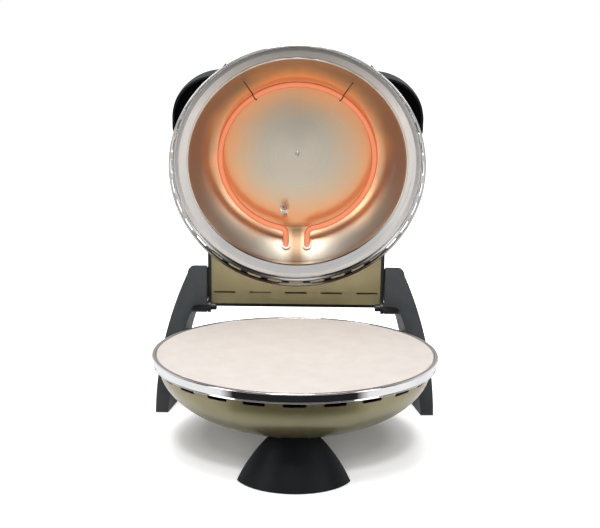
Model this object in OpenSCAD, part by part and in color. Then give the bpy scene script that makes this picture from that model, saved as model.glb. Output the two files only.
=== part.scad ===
// Countertop pizza maker: stone and bowl base, hinged dome lid, shown open.
// +Z is up, the floor is z = 0, x = 0 is the middle, and the front is towards -Y.

/* [Stone] */
// Diameter of the pizza stone
stone_d = 310; // [280:1:330]
// Thickness of the stone
stone_t = 11; // [9:0.5:14]
// Gap between the stone and the ring around it
stone_gap = 0.5; // [0.3:0.1:1]

/* [Base ring] */
// Height of the stone's top and of the ring's land above the floor
rim_height = 125; // [118:1:135]
// Width of the flat land around the stone
land_w = 4.75; // [4:0.25:7]
// Sheet thickness of the ring
ring_t = 1; // [0.8:0.1:1.5]
// How far the outer band leans in from top to bottom
band_lean = 2.6; // [1:0.1:3]
// Height of the rolled lip at the band's foot
lip_h = 1.5; // [1:0.1:2.5]
// Width of the ledge that carries the stone
ledge_w = 10.5; // [9:0.5:13]

/* [Bowl] */
// How far the bowl's top stands in from the ring's outer edge
bowl_inset = 8.25; // [7:0.25:9]
// Depth of the bowl below the ring
bowl_depth = 71; // [60:1:74]
// Radius of the flat spot in the middle of the bowl's bottom
bowl_flat_r = 34; // [28:1:45]
// Sheet thickness of the bowl
bowl_t = 1.2; // [0.8:0.1:2]
// Number of vent slots around the bowl
bowl_slots = 22; // [12:1:24]
// Length of a bowl slot
bowl_slot_l = 25; // [16:1:28]
// Height of a bowl slot
bowl_slot_h = 4; // [3:0.5:6]

/* [Base liner and element] */
// Depth of the reflector liner below the ring
liner_depth = 24; // [20:1:27]
// Radius of the liner's flat floor
liner_floor_r = 117; // [110:1:122]
// Sheet thickness of both liners
liner_t = 0.8; // [0.6:0.1:1.2]
// Diameter of a heating element's tube
tube_d = 7.2; // [6:0.2:8]
// Middle radius of the base element
base_element_r = 100; // [90:1:104]
// Height of the base element above the liner's floor
base_element_up = 10; // [8:0.5:12]
// Half the distance between an element's two ends
end_x = 13; // [11:0.5:16]
// Middle radius of the bend before each end
bend_r = 9; // [7:0.5:12]
// Diameter of a ceramic bush on an element's end
bush_d = 11.5; // [10.5:0.5:13]
// Number of saddles under the base element
saddles = 3; // [3:1:3]

/* [Front foot] */
// Radius of the front foot's round footprint
foot_r = 67; // [60:1:72]
// Distance from the foot's centre to its flat back
foot_cut = 22.5; // [18:0.5:28]
// Distance of the foot's centre in front of the bowl's axis
foot_fwd = 53.5; // [48:0.5:58]
// Radius of the foot at the height where its slope is set
foot_top_r = 33; // [30:1:38]
// Height where the foot's slope is set
foot_top_z = 56; // [52:1:60]
// Outward bulge of the foot's sloping side
foot_bulge = 3; // [1:0.5:5]
// Wall of the front foot
foot_wall = 3; // [2.5:0.5:4]

/* [Rear legs] */
// Half width over the two legs at the floor
leg_x = 170.2; // [160:0.1:176]
// Radius of a leg's long outer curve
leg_curve_r = 450; // [420:10:560]
// Depth below the floor of that curve's centre
leg_curve_z = 6; // [2:1:16]
// Width of a leg's front at the floor
leg_w = 15; // [14:0.5:20]
// How much wider a leg is per mm of height
leg_widen = 0.055; // [0.03:0.005:0.07]
// Height of the legs above the base ring
leg_top_up = 61.5; // [55:0.5:68]
// Height of the arm's lower edge above the base ring
arm_up = 12; // [10:0.5:14]
// Radius of the corner between a leg and its arm
arm_fillet = 9; // [6:0.5:11]
// Radius of a leg's top corner
leg_corner_r = 10; // [6:0.5:12]
// Distance of the legs' front faces behind the bowl's axis
leg_back = 165; // [164:0.5:170]
// Angle that a leg's sides lean inwards towards the back
leg_splay = 10; // [0:1:14]
// Depth of a leg at the floor, front to back
leg_depth = 90; // [80:1:100]
// Depth of a leg at its top
leg_top_depth = 40; // [34:1:50]
// How far a leg's top falls towards the back
leg_top_fall = 12; // [4:1:16]
// Wall of a leg
leg_wall = 3; // [2.5:0.5:4]
// Diameter of a rubber foot pad
pad_d = 10; // [8:0.5:11]
// How far the pads stand proud of the foot and legs
pad_proud = 1; // [0.6:0.1:1.5]

/* [Hinge] */
// Distance of the hinge axis behind the bowl's axis
hinge_back = 181; // [179:0.5:184]
// Height of the hinge axis above the base ring
hinge_up = 7; // [6:0.5:9]
// Angle of the open lid from closed
open_angle = 79; // [60:1:85]
// Diameter of a hinge pin
pin_d = 6; // [5:0.5:8]
// Radial clearance of a pin in its bush
pin_gap = 0.05; // [0.02:0.01:0.1]
// Radius of the hinge eyes in the legs and the neck plates
eye_r = 7.5; // [7:0.25:9]
// Wall of a hinge bush
bush_wall = 1.5; // [1:0.25:2]
// Side clearance between a neck plate and the leg's arm
side_gap = 0.8; // [0.5:0.1:1.5]
// Thickness of a friction washer on the pin
washer_t = 0.6; // [0.4:0.1:0.8]

/* [Lid ring] */
// Diameter over the skirt's free edge
lid_d = 302; // [270:1:304]
// Gap between the closed lid's skirt and the base ring's land
lid_gap = 2; // [1:0.5:4]
// Height of the skirt
skirt_h = 13.5; // [12:0.5:16]
// How far the skirt flares out towards its free edge
skirt_flare = 4; // [2:0.5:6]
// Width of the flange between the skirt and the liner
flange_w = 15.6; // [14:0.2:17]
// Rise of the flange towards the liner
flange_rise = 4; // [2:0.5:5]
// Number of slots around the skirt
skirt_slots = 36; // [24:1:36]
// Length of a skirt slot
skirt_slot_l = 18; // [12:1:20]
// Height of a skirt slot
skirt_slot_h = 4.5; // [3:0.5:5]

/* [Dome] */
// Height of the dome above the lid ring
dome_h = 58; // [56:1:62]
// Sheet thickness of the dome
dome_t = 1.2; // [0.8:0.1:2]

/* [Lid liner and element] */
// Height of the lid liner's floor above its lip
lid_liner_h = 36.5; // [35:0.5:37.5]
// Radius of the lid liner's flat floor
lid_floor_r = 96; // [90:1:98]
// Middle radius of the lid element
lid_element_r = 92; // [86:0.5:94]
// Distance of the lid element below the liner's floor
lid_element_down = 16; // [12:0.5:18]
// Angle of the two wire hangers from the front
hanger_angle = 34; // [28:1:45]
// Wire diameter of the hangers
wire_d = 1.6; // [1.2:0.1:2]

/* [Neck] */
// Half width of the painted neck cover
neck_x = 103; // [95:0.5:110]
// Thickness of the black neck plates
plate_t = 4; // [3:0.5:5]
// Height of the neck panel above the base ring
panel_up = 22; // [20:0.5:24]
// Height of the neck's top above the base ring
neck_top_up = 60; // [54:1:64]
// Distance of the neck's rear face behind the hinge axis
neck_rear = 3; // [1:0.5:6]
// Thickness of the black rear bar
bar_t = 4; // [3:0.5:5]
// Height of the rear bar
bar_h = 16; // [12:1:22]
// Sheet thickness of the neck cover and panel
neck_t = 1.4; // [1:0.1:2]
// Number of slots in the neck panel
panel_slots = 5; // [3:1:5]
// Length of a panel slot
panel_slot_l = 26.5; // [20:0.5:30]
// Height of a panel slot
panel_slot_h = 2.4; // [2:0.2:4]
// Distance between panel slots, middle to middle
panel_pitch = 43.5; // [36:0.5:46]
// Distance of the panel slots in front of the neck's rear face
panel_slot_in = 15; // [10:0.5:18]

/* [Handle] */
// Half width over the handle's two ears
handle_x = 148.4; // [144:0.2:152]
// Radius of the ears' large front corners
ear_r = 52.4; // [44:0.2:56]
// Distance of the handle's straight front in front of the lid's axis
handle_front = 103; // [100:0.5:108]
// Distance of the handle's rear edge in front of the lid's axis
handle_rear = 26; // [20:1:34]
// Height of the handle's crown above the base ring
handle_top_up = 90; // [86:1:94]
// Height above the base ring at which the handle's crown starts
handle_low_up = 30; // [26:1:32]
// Height above the base ring of the handle's lower edge
handle_edge_up = 36; // [32:1:40]
// Rounding of the ears' rear corners
ear_corner_r = 12; // [8:1:20]
// Wall of the handle shell
handle_wall = 2.6; // [2:0.2:4]
// How far the finger lip's two points stand out in front
grip_out = 7.5; // [5:0.5:10]
// Half the distance between the finger lip's points
grip_x = 86; // [70:1:89]
// Height of the finger lip's top above the base ring
grip_up = 62; // [58:0.5:64]
// Thickness of the finger lip
grip_t = 5; // [4:0.5:7]

/* [Controls] */
// Sideways distance of each knob from the middle
knob_x = 58; // [50:1:64]
// Distance of the knobs in front of the lid's axis
knob_fwd = 66; // [62:1:72]
// Diameter of a knob
knob_d = 36; // [30:1:38]
// Height of a knob
knob_h = 15; // [12:1:18]
// Gap between a knob and the seat under it
knob_gap = 0.6; // [0.4:0.1:1]
// Diameter of a knob's shaft
shaft_d = 6; // [5:0.5:7]
// Radial clearance of a shaft in its sleeve
shaft_gap = 0.05; // [0.02:0.01:0.1]
// Turn of the thermostat knob, in degrees
thermostat_turn = 270; // [180:5:300]
// Diameter of the pilot lens
lens_d = 11; // [8:0.5:14]

/* [Hidden] */

// Fine and plain smoothness, and a cutter's overshoot
fine = 128;
plain = 48;
past = 1;

// Base ring and bowl, with heights measured from the land
stone_hole_r = stone_d / 2 + stone_gap;
rim_r = stone_hole_r + land_w;
ledge_z = -stone_t - ring_t;
ledge_r = stone_hole_r - ledge_w;
bowl_r = rim_r - bowl_inset;
bowl_ellipse = bowl_depth / sqrt(1 - pow(bowl_flat_r / bowl_r, 2));
bowl_floor_z = ledge_z - bowl_depth;
bowl_steps = 22;
slot_drop = bowl_slot_h / 2 + 1.5;
wall_fit = 0.2;

// The whole thing stands with the middle of its footprint at y = 0
bowl_y = (rim_r - leg_back - leg_depth) / 2;

// Fasteners
screw_d = 3;
hole_d = 3.4;
head_d = 6;
head_h = 2;
drill_l = 20;
rim_screw_count = 4;
tab_l = 11;
tab_w = 9;
tab_t = 1.4;
screw_gap = 0.1;
tap_d = screw_d + screw_gap;
boss_d = 9;
foot_screw_l = 13;
foot_boss_l = 18;
foot_screw_angle = 56;
foot_screw_turn = 11;
lug_screw_l = 11;

// Wire blocks and lead bushes
block_l = 40;
block_w = 20;
block_h = 13;
wire_pitch = 12.5;
wire_hole_d = 4;
clamp_hole_d = 5;
clamp_deep = 3;
block_up = 14;
gland_turn = 65;
gland_angle = 40;
gland_d = 12;
gland_wall = 2.5;
lead_gland_d = 9;

// Lid, in the closed position, with heights measured from the base ring's land
lid_r = lid_d / 2;
crease_r = lid_r - skirt_flare;
crease_z = lid_gap + skirt_h;
seat_w = 6.5;
flange_end_r = crease_r - flange_w;
flange_end_z = crease_z + flange_rise;
dome_r = crease_r - 1;
dome_z = crease_z + ring_t;
dome_steps = 22;
hem_w = 5;
bead_r = 1;
lip_r = flange_end_r - bead_r - wall_fit;
lid_floor_z = flange_end_z + lid_liner_h;
liner_steps = 9;
liner_belly_in = 14.3;
liner_belly_down = 13.75;
lid_element_z = lid_floor_z - lid_element_down;
lid_bush_y = sqrt(pow(wall_r_at(lid_element_z), 2) - end_x * end_x);
lid_wall_tilt = atan2(2, wall_r_at(lid_element_z - 1) - wall_r_at(lid_element_z + 1));
collar_h = 3;
collar_gap = 0.3;
dome_top_z = dome_z + dome_h;
sensor_x = -16;
sensor_y = 71;
bulb_d = 4;
bulb_l = 16;
bulb_up = 9;
spacer_d = 9;
spacer_hole_l = 11;

// Base liner and element
base_floor_z = ledge_z - liner_depth;
base_element_z = base_floor_z + base_element_up;
pan_clear = 0.6;
pan_r = (ledge_r + bowl_r - bowl_t - tab_l) / 2 - liner_t - pan_clear;
base_wall_r = pan_r - (pan_r - liner_floor_r) * (liner_depth - base_element_up) / liner_depth;
base_wall_tilt = atan2(liner_depth, pan_r - liner_floor_r);
base_bush_y = sqrt(pow(base_wall_r, 2) - end_x * end_x);
bush_l = 9;
bush_neck_d = bush_d - 3;
tube_steps = 24;
cutout_y = -60;
cutout_d = 24;

// Front foot
foot_steps = 12;
foot_over = 1.15;

// Hinge, legs and neck
pin_r = pin_d / 2;
bush_in_r = pin_r + pin_gap;
bush_out_r = bush_in_r + bush_wall;
bush_len = 20;
pin_head_r = pin_r + 1.5;
pin_head_l = 7;
plate_x = neck_x + plate_t;
arm_x = plate_x + side_gap;
arm_z = rim_height + arm_up;
leg_top_z = rim_height + leg_top_up;
boss_l = 23;
leg_steps = 14;
bar_depth = 3;
bar_back = leg_back + 5;
bar_low = -50;
bar_high = -22;
lug_x = 50;
lug_w = 16;
lug_h = 16;
lug_angle = asin((ledge_z - bar_high + lug_h / 2) / bowl_ellipse);
lug_turn = asin(lug_x / bowl_r);
pad_in = 4;
pad_low = rim_height + bar_low + pad_in;
pad_high = rim_height + bar_high - pad_in;
pad_deep = 30;
splay_in = (leg_wall + pad_deep) * tan(leg_splay);
pad_step = 3 + splay_in;
pad_face_x = leg_inner(pad_high) - pad_step;
pad_t = 12 + splay_in;
leg_screw_l = 13;
leg_past = 30;
neck_front = 45;
neck_back = hinge_back + neck_rear;
neck_knee = 112;
neck_corner_r = 12;
neck_low_top = dome_height(sqrt(pow(neck_x, 2) + pow(neck_front, 2)));
plate_below = 4;
neck_screw_in = 18;
neck_screw_rear = 16;
plate_screw_l = 4.4;
bar_screw_l = 8.4;

// Handle and controls
crown_out = 19.6;
crown_r = handle_x + crown_out;
ear_steps = 12;
grip_flank = 6;
grip_point = 1.5;
grip_scoop = 3.5;
crown_h = handle_top_up - handle_low_up;
seat_up = handle_top_up - 4;
seat_t = 10;
seat_rim = 2;
sleeve_r = shaft_d / 2 + shaft_gap + 1.6;
control_d = 22;
control_h = 8;
shaft_in_knob = 9;
shaft_in_body = 5;
boss_angle = 41;
boss_h = 30;
boss_screw_l = 10;
boss_turns = [-28, -60, -120, -152];
lens_top = handle_top_up - 2;
lens_t = 8;
lamp_d = 7;
$fn = plain;

// Quarter-ellipse sections of the bowl, dome and handle crown, sunk by t
function bowl_point(a, t) = [(bowl_r - t) * cos(a), ledge_z - (bowl_ellipse - t) * sin(a)];
function bowl_end(t) = asin((bowl_depth - t) / (bowl_ellipse - t));
function bowl_section(t) = [for (i = [0:bowl_steps]) bowl_point(i * bowl_end(t) / bowl_steps, t)];
function dome_point(a, t) = [(dome_r - t) * cos(a), dome_z + (dome_h - t) * sin(a)];
function dome_section(t) = [for (i = [0:dome_steps]) dome_point(i * 90 / dome_steps, t)];
function dome_height(r) = dome_z + dome_h * sqrt(1 - pow(r / dome_r, 2));
function crown_section(t) = [for (i = [0:dome_steps]) let (a = i * 90 / dome_steps)
    [(crown_r - t) * cos(a), handle_low_up + (crown_h - t) * sin(a)]];
function reversed(list) = [for (i = [len(list) - 1:-1:0]) list[i]];

module ring_of(points) { rotate_extrude($fn = fine) polygon(points); }

// Solid bodies of the bowl and dome, for cutting what lies against them
module bowl_body() { ring_of(concat([[0, ledge_z]], bowl_section(0), [[0, bowl_floor_z]])); }
module dome_body() { ring_of(concat([[0, dome_z]], dome_section(0))); }
module crown_body(t) { ring_of(concat([[0, handle_low_up]], crown_section(t))); }

module at_base() { translate([0, bowl_y, rim_height]) children(); }

// Carries a piece of the closed lid to the open position
module at_lid() {
    translate([0, bowl_y + hinge_back, rim_height + hinge_up]) rotate([-open_angle, 0, 0])
        translate([0, -hinge_back, -hinge_up]) children();
}

module both_sides() { for (s = [0, 1]) mirror([s, 0, 0]) children(); }

// Puts children on the bowl's outside, or on the dome's, with +Z pointing away from it
module on_bowl(turn, a) {
    p = bowl_point(a, 0);
    tilt = atan2(sin(a) / bowl_ellipse, cos(a) / bowl_r);
    rotate([0, 0, turn]) translate([p[0], 0, p[1]]) rotate([0, 90 + tilt, 0]) children();
}
module on_dome(turn, a) {
    p = dome_point(a, 0);
    tilt = atan2(sin(a) / dome_h, cos(a) / dome_r);
    rotate([0, 0, turn]) translate([p[0], 0, p[1]]) rotate([0, 90 - tilt, 0]) children();
}

// Flat slot with round ends
module stadium(l, h) {
    square([l - h, h], center = true);
    for (s = [-1, 1]) translate([s * (l - h) / 2, 0]) circle(d = h);
}

// Ring of slots cut through a wall from the side
module radial_slots(count, r, z, l, h, reach) {
    for (i = [0:count - 1])
        rotate([0, 0, i * 360 / count - 90]) translate([r - reach / 2, 0, z])
            rotate([90, 0, 90]) linear_extrude(reach) stadium(l, h);
}

// Cross-head screw, its head above z = 0 and its shank below
module screw(l) {
    difference() {
        cylinder(d = head_d, h = head_h);
        for (a = [0, 90]) rotate([0, 0, a]) translate([-head_d * 0.3, -head_d * 0.06, head_h / 2])
            cube([head_d * 0.6, head_d * 0.12, head_h]);
    }
    translate([0, 0, -l]) cylinder(d = screw_d, h = l);
}

// Ring element open at the back, with its two ends bent outwards to end_y
module element_tube(r, end_y) {
    bend_x = end_x + bend_r;
    bend_a = asin(bend_x / (r + bend_r));
    bend_y = (r + bend_r) * cos(bend_a);
    rotate([0, 0, 90 + bend_a]) rotate_extrude(angle = 360 - 2 * bend_a, $fn = fine)
        translate([r, 0]) circle(d = tube_d, $fn = tube_steps);
    both_sides() {
        // Crimped collar where the ring meets its bend
        rotate([0, 0, 90 - bend_a]) translate([r, 0, 0]) rotate([90, 0, 0])
            cylinder(d = tube_d + 0.3, h = 3, center = true, $fn = tube_steps);
        translate([bend_x, bend_y, 0]) rotate([0, 0, 180]) rotate_extrude(angle = 90 - bend_a)
            translate([bend_r, 0]) circle(d = tube_d, $fn = tube_steps);
        translate([end_x, bend_y, 0]) rotate([-90, 0, 0])
            cylinder(d = tube_d, h = end_y - bend_y, $fn = tube_steps);
    }
}

// Pair of ceramic bushes around an element's ends, their collars turned to face a round wall that leans
module bush_pair(y, lean) {
    both_sides() translate([end_x, y, 0]) difference() {
        union() {
            rotate([lean, 0, -atan2(end_x, y)]) translate([0, 0, collar_gap])
                cylinder(d = bush_d, h = collar_h);
            rotate([-90, 0, 0]) cylinder(d = bush_neck_d, h = bush_l);
        }
        translate([0, -bush_l, 0]) rotate([-90, 0, 0]) cylinder(d = tube_d, h = 3 * bush_l);
    }
}

// ---- Base ----

module pizza_stone() {
    bevel = 1;
    r = stone_d / 2;
    color("#e9e2cf") at_base() ring_of([[0, -stone_t], [r - bevel, -stone_t], [r, bevel - stone_t],
        [r, -bevel], [r - bevel, 0], [0, 0]]);
}

// Land, leaning band with a rolled lip, and the ledge under the stone
module base_rim_ring() {
    foot_z = ledge_z + ring_t / 2;
    band_r = rim_r - band_lean;
    color("silver") at_base() difference() {
        ring_of([[ledge_r, ledge_z], [stone_hole_r + ring_t, ledge_z], [stone_hole_r + ring_t, -ring_t],
            [rim_r - ring_t, -ring_t], [band_r - ring_t, foot_z + lip_h], [band_r - ring_t / 2, foot_z],
            [band_r + ring_t, foot_z], [band_r, foot_z + lip_h], [rim_r, -ring_t], [rim_r - ring_t, 0],
            [stone_hole_r, 0], [stone_hole_r, -stone_t], [ledge_r, -stone_t]]);
        rim_screw_places() cylinder(d = hole_d, h = 4 * ring_t, center = true);
    }
}

// Screw places under the ledge, at its lower face
module rim_screw_places() {
    for (i = [0:rim_screw_count - 1]) rotate([0, 0, 45 + i * 360 / rim_screw_count])
        translate([(ledge_r + bowl_r - bowl_t) / 2, 0, ledge_z]) children();
}

module rim_screws() {
    stack = tab_t + liner_t;
    color("gainsboro") at_base() rim_screw_places() translate([0, 0, -stack])
        rotate([180, 0, 0]) screw(stack + ring_t);
}

module lug_places() { for (s = [-1, 1]) on_bowl(90 + s * lug_turn, lug_angle) children(); }
module foot_screw_places() {
    for (s = [-1, 1]) on_bowl(s * foot_screw_turn - 90, foot_screw_angle) children();
}

// Painted bowl with vent slots under the ring and four screw tabs inside
module base_bowl() {
    color("#9a8f5f") at_base() difference() {
        union() {
            ring_of(concat(bowl_section(0), [[0, bowl_floor_z], [0, bowl_floor_z + bowl_t]],
                reversed(bowl_section(bowl_t))));
            rim_screw_places() translate([-tab_l / 2, -tab_w / 2, -liner_t - tab_t])
                cube([tab_l / 2 + (bowl_r - ledge_r) / 2, tab_w, tab_t]);
        }
        radial_slots(bowl_slots, bowl_r, ledge_z - slot_drop, bowl_slot_l, bowl_slot_h, 12);
        rim_screw_places() translate([0, 0, -6]) cylinder(d = hole_d, h = 12);
        lug_places() cylinder(d = hole_d, h = drill_l, center = true);
        foot_screw_places() cylinder(d = hole_d, h = drill_l, center = true);
        on_bowl(gland_turn, gland_angle) cylinder(d = gland_d, h = drill_l, center = true);
    }
}

// Shallow reflector pan hung from the ledge
module base_liner() {
    lead = liner_floor_r + liner_t;
    wall_r = pan_r + liner_t;
    color("#c9c9c9") at_base() difference() {
        ring_of([[bowl_r - bowl_t - wall_fit, ledge_z], [pan_r, ledge_z], [liner_floor_r, base_floor_z],
            [0, base_floor_z], [0, base_floor_z - liner_t], [lead, base_floor_z - liner_t],
            [wall_r, ledge_z - liner_t], [bowl_r - bowl_t - wall_fit, ledge_z - liner_t]]);
        rim_screw_places() translate([0, 0, -6]) cylinder(d = hole_d, h = 12);
        both_sides() translate([end_x, liner_floor_r, base_element_z]) rotate([-90, 0, 0])
            cylinder(d = bush_neck_d, h = 40);
    }
}

module base_element() {
    color("#8c4a35") at_base() translate([0, 0, base_element_z])
        element_tube(base_element_r, base_bush_y + bush_d);
}

module base_element_bushes() {
    color("ivory") at_base() translate([0, 0, base_element_z]) bush_pair(base_bush_y, base_wall_tilt);
}

// Saddles that hold the element off the liner's floor
module element_saddles() {
    w = tube_d + 4;
    color("gainsboro") at_base() difference() {
        for (i = [0:saddles - 1]) rotate([0, 0, 270 + i * 360 / saddles])
            translate([base_element_r - w / 2, -w / 2, base_floor_z]) cube([w, w, base_element_up]);
        translate([0, 0, base_element_z]) rotate_extrude($fn = fine) translate([base_element_r, 0])
            circle(d = tube_d, $fn = tube_steps);
    }
}

// Insulated block with three wire holes and three clamp screws
module wire_block() {
    difference() {
        translate([-block_l / 2, -block_w / 2, 0]) cube([block_l, block_w, block_h]);
        for (i = [-1:1]) {
            translate([i * wire_pitch, 0, block_h * 0.4]) rotate([90, 0, 0])
                cylinder(d = wire_hole_d, h = block_w + 2 * past, center = true);
            translate([i * wire_pitch, 0, block_h - clamp_deep])
                cylinder(d = clamp_hole_d, h = clamp_deep + past);
        }
    }
    for (i = [-1:1]) translate([i * wire_pitch, 0, block_h - clamp_deep])
        cylinder(d = clamp_hole_d * 0.9, h = clamp_deep / 2);
}

module terminal_block() {
    color("#d8d2c4") at_base() translate([0, 0, bowl_floor_z + bowl_t]) wire_block();
}

// Disc cut-out under the reflector liner, with two tabs
module thermal_cutout() {
    color("#4a4a48") at_base() translate([0, cutout_y, base_floor_z - liner_t]) rotate([180, 0, 0]) {
        cylinder(d = cutout_d, h = 2);
        translate([0, 0, 2]) cylinder(d = cutout_d * 0.7, h = 8);
        for (s = [-1, 1]) translate([s * cutout_d / 5 - 0.4, -3, 10]) cube([0.8, 6, 7]);
    }
}

// Bush for the supply lead, standing square on the bowl's wall
module cord_gland() {
    color("#1c1c1d") at_base() on_bowl(gland_turn, gland_angle) difference() {
        union() {
            cylinder(d = gland_d + 5, h = 3);
            translate([0, 0, -6]) cylinder(d = gland_d, h = 7);
            cylinder(d = gland_d - 1, h = 12);
        }
        translate([0, 0, -7]) cylinder(d = gland_d - 2 * gland_wall, h = 20);
    }
}

// ---- Front foot ----

// Sloping side of the foot as a bowed line, inset by w
function foot_point(t, w) = [foot_r - w + t * (foot_top_r - foot_r) + 4 * foot_bulge * t * (1 - t),
    t * foot_top_z];
module foot_body(w) {
    top = foot_point(foot_over, w);
    intersection() {
        ring_of(concat([[0, 0]], [for (i = [0:foot_steps]) foot_point(i * foot_over / foot_steps, w)],
            [[0, top[1]]]));
        translate([-foot_r, -foot_r, 0]) cube([2 * foot_r, foot_r - foot_cut - w, 2 * foot_top_z]);
    }
}

module at_foot() { translate([0, bowl_y - foot_fwd, 0]) children(); }

// Hollow half-dome, closed below and shaped to the bowl above
module front_foot() {
    color("#232426") difference() {
        union() {
            difference() {
                at_foot() intersection() {
                    foot_body(0);
                    translate([-foot_r, -foot_r, pad_proud]) cube([2 * foot_r, 2 * foot_r, 2 * foot_top_z]);
                }
                at_foot() intersection() {
                    foot_body(foot_wall);
                    translate([-foot_r, -foot_r, pad_proud + foot_wall])
                        cube([2 * foot_r, 2 * foot_r, 2 * foot_top_z]);
                }
            }
            at_base() foot_screw_places() cylinder(d = boss_d, h = foot_boss_l);
        }
        at_base() bowl_body();
        at_base() foot_screw_places() cylinder(d = tap_d, h = foot_screw_l + screw_gap);
    }
}

module foot_screws() {
    color("gainsboro") at_base() foot_screw_places() translate([0, 0, -bowl_t - screw_gap])
        rotate([180, 0, 0]) screw(foot_screw_l);
}

// Three pads under the foot and two under each leg
module foot_pads() {
    pad_x = leg_x - leg_w / 2;
    lean = tan(leg_splay);
    side_x = foot_r * 0.7;
    side_y = -foot_cut - pad_d * 0.8;
    front_y = pad_d + 2 - foot_r;
    color("#101010") {
        at_foot() for (p = [[0, front_y], [-side_x, side_y], [side_x, side_y]]) translate([p[0], p[1], 0])
            cylinder(d = pad_d, h = pad_proud);
        both_sides() for (y = [pad_d, leg_depth - pad_d])
            translate([pad_x - lean * y, bowl_y + leg_back + y, 0]) cylinder(d = pad_d, h = pad_proud);
    }
}

// ---- Rear legs ----

function leg_outer(z) = leg_x - sqrt(pow(leg_curve_r, 2) - pow(leg_curve_z, 2))
    + sqrt(pow(leg_curve_r, 2) - pow(z + leg_curve_z, 2));
function leg_inner(z) = leg_outer(z) - leg_w - leg_widen * z;
function round_corner(c, r, from, to) = [for (i = [0:6]) let (a = from + i * (to - from) / 6)
    [c[0] + r * cos(a), c[1] + r * sin(a)]];

// Front view of a leg and its arm, inset by w, from the floor gap up
function leg_outline(w) = let (
        low = pad_proud + w,
        high = leg_top_z - leg_corner_r,
        bend = arm_z - arm_fillet)
    concat(
        [for (i = [0:leg_steps]) let (z = low + i * (high - low) / leg_steps) [leg_outer(z) - w, z]],
        round_corner([leg_outer(high) - leg_corner_r, high], leg_corner_r - w, 15, 90),
        [[arm_x + w, leg_top_z - w], [arm_x + w, arm_z + w]],
        round_corner([leg_inner(bend) - arm_fillet, bend], arm_fillet + w, 90, 0),
        [for (i = [1:leg_steps]) let (z = bend + i * (low - bend) / leg_steps) [leg_inner(z) + w, z]]);

// Side view of a leg: upright in front, its top falling back, sweeping to the floor behind
function leg_side() = let (widen = leg_depth - leg_top_depth, tall = leg_top_z - leg_top_fall - pad_proud)
    concat([[0, pad_proud], [0, leg_top_z]], [for (i = [0:leg_steps]) let (t = i / leg_steps)
        [leg_top_depth + widen * pow(t, 1.6), leg_top_z - leg_top_fall - tall * t]]);

// Side view of the space inside a leg, open at the back, under its falling top
function leg_hollow() = let (slope = leg_top_fall / leg_top_depth, back = leg_depth + past)
    [[leg_wall, pad_proud], [leg_wall, leg_top_z - leg_wall - slope * leg_wall],
        [back, leg_top_z - leg_wall - slope * back], [back, pad_proud]];

// Bar with a leg's front view, inset by w, leaning inwards towards the back
module leg_bar(w) {
    translate([leg_x, 0, 0]) rotate([0, 0, leg_splay]) translate([-leg_x, leg_depth + leg_past, 0])
        rotate([90, 0, 0]) linear_extrude(leg_depth + 2 * leg_past) polygon(leg_outline(w));
}

module leg() {
    eye = [0, hinge_back - leg_back, rim_height + hinge_up];
    translate([0, bowl_y + leg_back, 0]) difference() {
        union() {
            difference() {
                intersection() {
                    leg_bar(0);
                    translate([arm_x, 0, 0]) rotate([90, 0, 90]) linear_extrude(leg_x) polygon(leg_side());
                }
                intersection() {
                    leg_bar(leg_wall);
                    translate([arm_x + leg_wall, 0, 0]) rotate([90, 0, 90]) linear_extrude(leg_x)
                        polygon(leg_hollow());
                }
            }
            translate([arm_x, eye[1], eye[2]]) rotate([0, 90, 0]) cylinder(r = eye_r, h = boss_l);
            translate([arm_x, eye[1] - eye_r, eye[2]])
                cube([boss_l, 2 * eye_r, arm_z + leg_wall - eye[2]]);
            leg_pad();
        }
        translate([arm_x - past, eye[1], eye[2]]) rotate([0, 90, 0])
            cylinder(r = bush_out_r, h = bush_len + past);
        leg_screw_places() translate([0, 0, -bar_depth]) cylinder(d = tap_d, h = leg_screw_l + screw_gap);
    }
}

// Pad inside a leg that the rear bracket is screwed to
module leg_pad() {
    translate([pad_face_x, leg_wall, pad_low]) cube([pad_t, pad_deep, pad_high - pad_low]);
}

// Two screws a side, pointing outwards into the pad
module leg_screw_places() {
    for (z = [pad_low + head_d, pad_high - head_d])
        translate([pad_face_x, bar_back - leg_back + pad_deep / 2, z]) rotate([0, 90, 0]) children();
}

module leg_right() { color("#232426") leg(); }
module leg_left() { color("#232426") mirror([1, 0, 0]) leg(); }

// Steel bar across the back of the bowl, with a flange on each leg and two lugs to the bowl
module rear_bracket() {
    high = rim_height + bar_high;
    low = rim_height + bar_low;
    color("#2b2b2d") translate([0, bowl_y, 0]) difference() {
        union() {
            translate([-pad_face_x, bar_back, low]) cube([2 * pad_face_x, bar_depth, high - low]);
            both_sides() translate([pad_face_x - bar_depth, bar_back, pad_low])
                cube([bar_depth, pad_deep + leg_wall + leg_back - bar_back, pad_high - pad_low]);
            both_sides() translate([lug_x - lug_w / 2, bowl_r * 0.8, high - lug_h])
                cube([lug_w, bar_back - bowl_r * 0.8 + past, lug_h]);
        }
        translate([0, 0, rim_height]) bowl_body();
        translate([0, 0, rim_height]) lug_places() translate([0, 0, -past])
            cylinder(d = tap_d, h = lug_screw_l + screw_gap + past);
        both_sides() translate([0, leg_back, 0]) leg_screw_places() translate([0, 0, -2 * bar_depth])
            cylinder(d = hole_d, h = 3 * bar_depth);
    }
}

module bracket_screws() {
    color("gainsboro") at_base() lug_places() translate([0, 0, -bowl_t - screw_gap])
        rotate([180, 0, 0]) screw(lug_screw_l);
}

module leg_screws() {
    color("gainsboro") both_sides() translate([0, bowl_y + leg_back, 0]) leg_screw_places()
        translate([0, 0, -bar_depth]) rotate([180, 0, 0]) screw(leg_screw_l);
}

// ---- Hinge ----

module at_hinge() {
    translate([0, bowl_y + hinge_back, rim_height + hinge_up]) both_sides() rotate([0, 90, 0]) children();
}

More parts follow.
